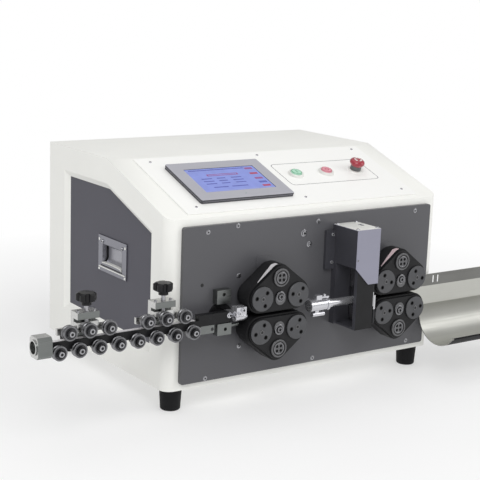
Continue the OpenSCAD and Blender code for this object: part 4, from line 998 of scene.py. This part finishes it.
def lip(bm, at):
    """Rolled lip along the pocket's lower edge, bowed a little, with a painted highlight on its top and painted
    shade on its underside.
    """
    rows = []
    for i in range(LIP_STEPS + 1):
        x = LIP_W * (i / LIP_STEPS - 0.5)
        top = LIP_AT + LIP_BOW * (1 - (2 * x / LIP_W) ** 2)
        rows.append([bm.verts.new(spot(at, x, top + z, n)) for z, n in LIP_PROFILE])
    last = len(LIP_PROFILE) - 1
    for a, b in zip(rows, rows[1:]):
        for k in range(last):
            bm.faces.new((a[k], b[k], b[k + 1], a[k + 1])).material_index = PAINTED_HIGHLIGHT if k < LIP_HIGHLIGHT else CHROME
        bm.faces.new((a[last], b[last], b[0], a[0])).material_index = PAINTED_SHADE
    bm.faces.new(rows[0]).material_index = PAINTED_HIGHLIGHT
    bm.faces.new(rows[-1][::-1]).material_index = PAINTED_HIGHLIGHT


handle_lo, handle_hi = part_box("handles")
handle_y, handle_z = (handle_lo.y + handle_hi.y) / 2, (handle_lo.z + handle_hi.z) / 2
for name, out, face_x in (("left", -1, handle_lo.x), ("right", 1, handle_hi.x)):
    at = facing((face_x, handle_y, handle_z), (out, 0, 0))
    bm = bmesh.new()
    for x, z in HANDLE_SCREWS:
        socket_screw(bm, moved(at, x, z), r=3.2, h=1.8)
    for x, z in RIVETS:
        stack(bm, RIVET, moved(at, x, z), 20, PAINTED_HIGHLIGHT)
    cup(bm, at)
    lip(bm, at)
    slab(bm, rounded(*SHADOW_LINE), SUNK, SHADOW_LINE_TOP, moved(at, SHADOW_LINE_X, SHADOW_LINE_Z), PAINTED_SHADE)
    slab(bm, rounded(*RIB), SUNK, RIB_TOP, moved(at, 0, RIB_Z), PAINTED_HIGHLIGHT)
    piece(name + "_handle_cup", bm, HANDLE_LOOKS)


# Back: screws of the rear panel

REAR_SCREW_X, REAR_SCREW_Z, REAR_IN = (-272, -92, 92, 272), (28, 332), 3 * MM
rear_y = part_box("access_panels")[1].y - REAR_IN
bm = bmesh.new()
for x in REAR_SCREW_X:
    for z in REAR_SCREW_Z:
        at = facing((MID_X + x * MM, rear_y, BASE_Z + z * MM), (0, 1, 0))
        socket_screw(bm, at, r=2.8, h=1.6, washer=3.8)
piece("rear_panel_screws", bm, STEEL_SCREW)


# Stage and light

FLOOR_R = 30.0
# The floor's paper is partly white up to the first distance and all white from the second
PAPER_END, WHITE_START, WHITE_SHARE = 0.55, 1.3, 0.40
AMBIENT = 0.50
# Each light's name, place, aim, size and power
LIGHTS = (("key_light", (-1.6, -2.2, 2.6), (0, 0, 0.2), (2.0, 2.0), 56),
          ("fill_light", (2.2, -1.8, 1.6), (0, 0, 0.2), (1.6, 1.6), 18),
          ("top_light", (0.2, 0.2, 2.6), (0, 0, 0.3), (2.4, 2.4), 12))


def stage_floor():
    """Pale paper under the part, which turns to plain white further out."""
    g = Graph("floor_paper")
    g.settle(Roughness=0.7)
    tone = g.remap(g.noise(3, 2), 0, 1)
    g.link(g.blend(tone, (0.90, 0.90, 0.90), (0.92, 0.92, 0.92)), g.bsdf.inputs["Base Color"])
    white = g.add("ShaderNodeEmission", Strength=1.0)
    white.inputs["Color"].default_value = (1, 1, 1, 1)
    length = g.add("ShaderNodeVectorMath", operation="LENGTH")
    g.link(g.coord, length.inputs[0])
    far = g.remap(length.outputs["Value"], WHITE_SHARE, 1, PAPER_END, WHITE_START)
    mix = g.add("ShaderNodeMixShader")
    g.link(far, mix.inputs["Fac"])
    g.link(g.bsdf.outputs["BSDF"], mix.inputs[1])
    g.link(white.outputs["Emission"], mix.inputs[2])
    g.link(mix.outputs["Shader"], g.out.inputs["Surface"])
    bm = bmesh.new()
    bmesh.ops.create_circle(bm, cap_ends=True, segments=64, radius=FLOOR_R)
    mesh = bpy.data.meshes.new("floor")
    bm.to_mesh(mesh)
    bm.free()
    mesh.materials.append(g.mat)
    floor = bpy.data.objects.new("floor", mesh)
    bpy.context.scene.collection.objects.link(floor)


def soft_box(name, place, aim, size, power):
    lamp = bpy.data.lights.new(name, "AREA")
    lamp.shape = "RECTANGLE"
    lamp.size, lamp.size_y = size
    lamp.energy = power
    made = bpy.data.objects.new(name, lamp)
    made.location = place
    made.rotation_euler = (Vector(aim) - Vector(place)).to_track_quat("-Z", "Y").to_euler()
    bpy.context.scene.collection.objects.link(made)


def white_world():
    """White behind the part, with a softer light from all round."""
    world = bpy.data.worlds.new("white_room")
    bpy.context.scene.world = world
    world.use_nodes = True
    tree = world.node_tree
    back = tree.nodes["Background"]
    back.inputs["Color"].default_value = (1, 1, 1, 1)
    path = tree.nodes.new("ShaderNodeLightPath")
    level = tree.nodes.new("ShaderNodeMapRange")
    level.inputs["To Min"].default_value = AMBIENT
    level.inputs["To Max"].default_value = 1.0
    tree.links.new(path.outputs["Is Camera Ray"], level.inputs["Value"])
    tree.links.new(level.outputs["Result"], back.inputs["Strength"])


# Camera, fitted to the photo's cabinet corners: place from the cabinet's left front lower corner

CAMERA_AT = (-1000.4, -1650.1, 678.1)
YAW, PITCH, ROLL = 34.73, -12.01, 2.02
LENS, SENSOR = 90.3, 36


def photo_camera():
    corner = Vector((shell_lo.x, FRONT_Y, BASE_Z))
    yaw, pitch, roll = (math.radians(a) for a in (YAW, PITCH, ROLL))
    ahead = Vector((math.sin(yaw) * math.cos(pitch), math.cos(yaw) * math.cos(pitch), math.sin(pitch)))
    right = Vector((math.cos(yaw), -math.sin(yaw), 0))
    up = right.cross(ahead)
    side = math.cos(roll) * right + math.sin(roll) * up
    top = -math.sin(roll) * right + math.cos(roll) * up
    data = bpy.data.cameras.new("photo_camera")
    data.lens = LENS
    data.sensor_width = SENSOR
    data.sensor_fit = "HORIZONTAL"
    data.clip_end = 200
    camera = bpy.data.objects.new("photo_camera", data)
    m = Matrix((side, top, -ahead)).transposed().to_4x4()
    m.translation = corner + Vector(CAMERA_AT) * MM
    camera.matrix_world = m
    bpy.context.scene.collection.objects.link(camera)
    bpy.context.scene.camera = camera


stage_floor()
white_world()
for light in LIGHTS:
    soft_box(*light)
photo_camera()
bpy.context.scene.view_settings.view_transform = "Standard"
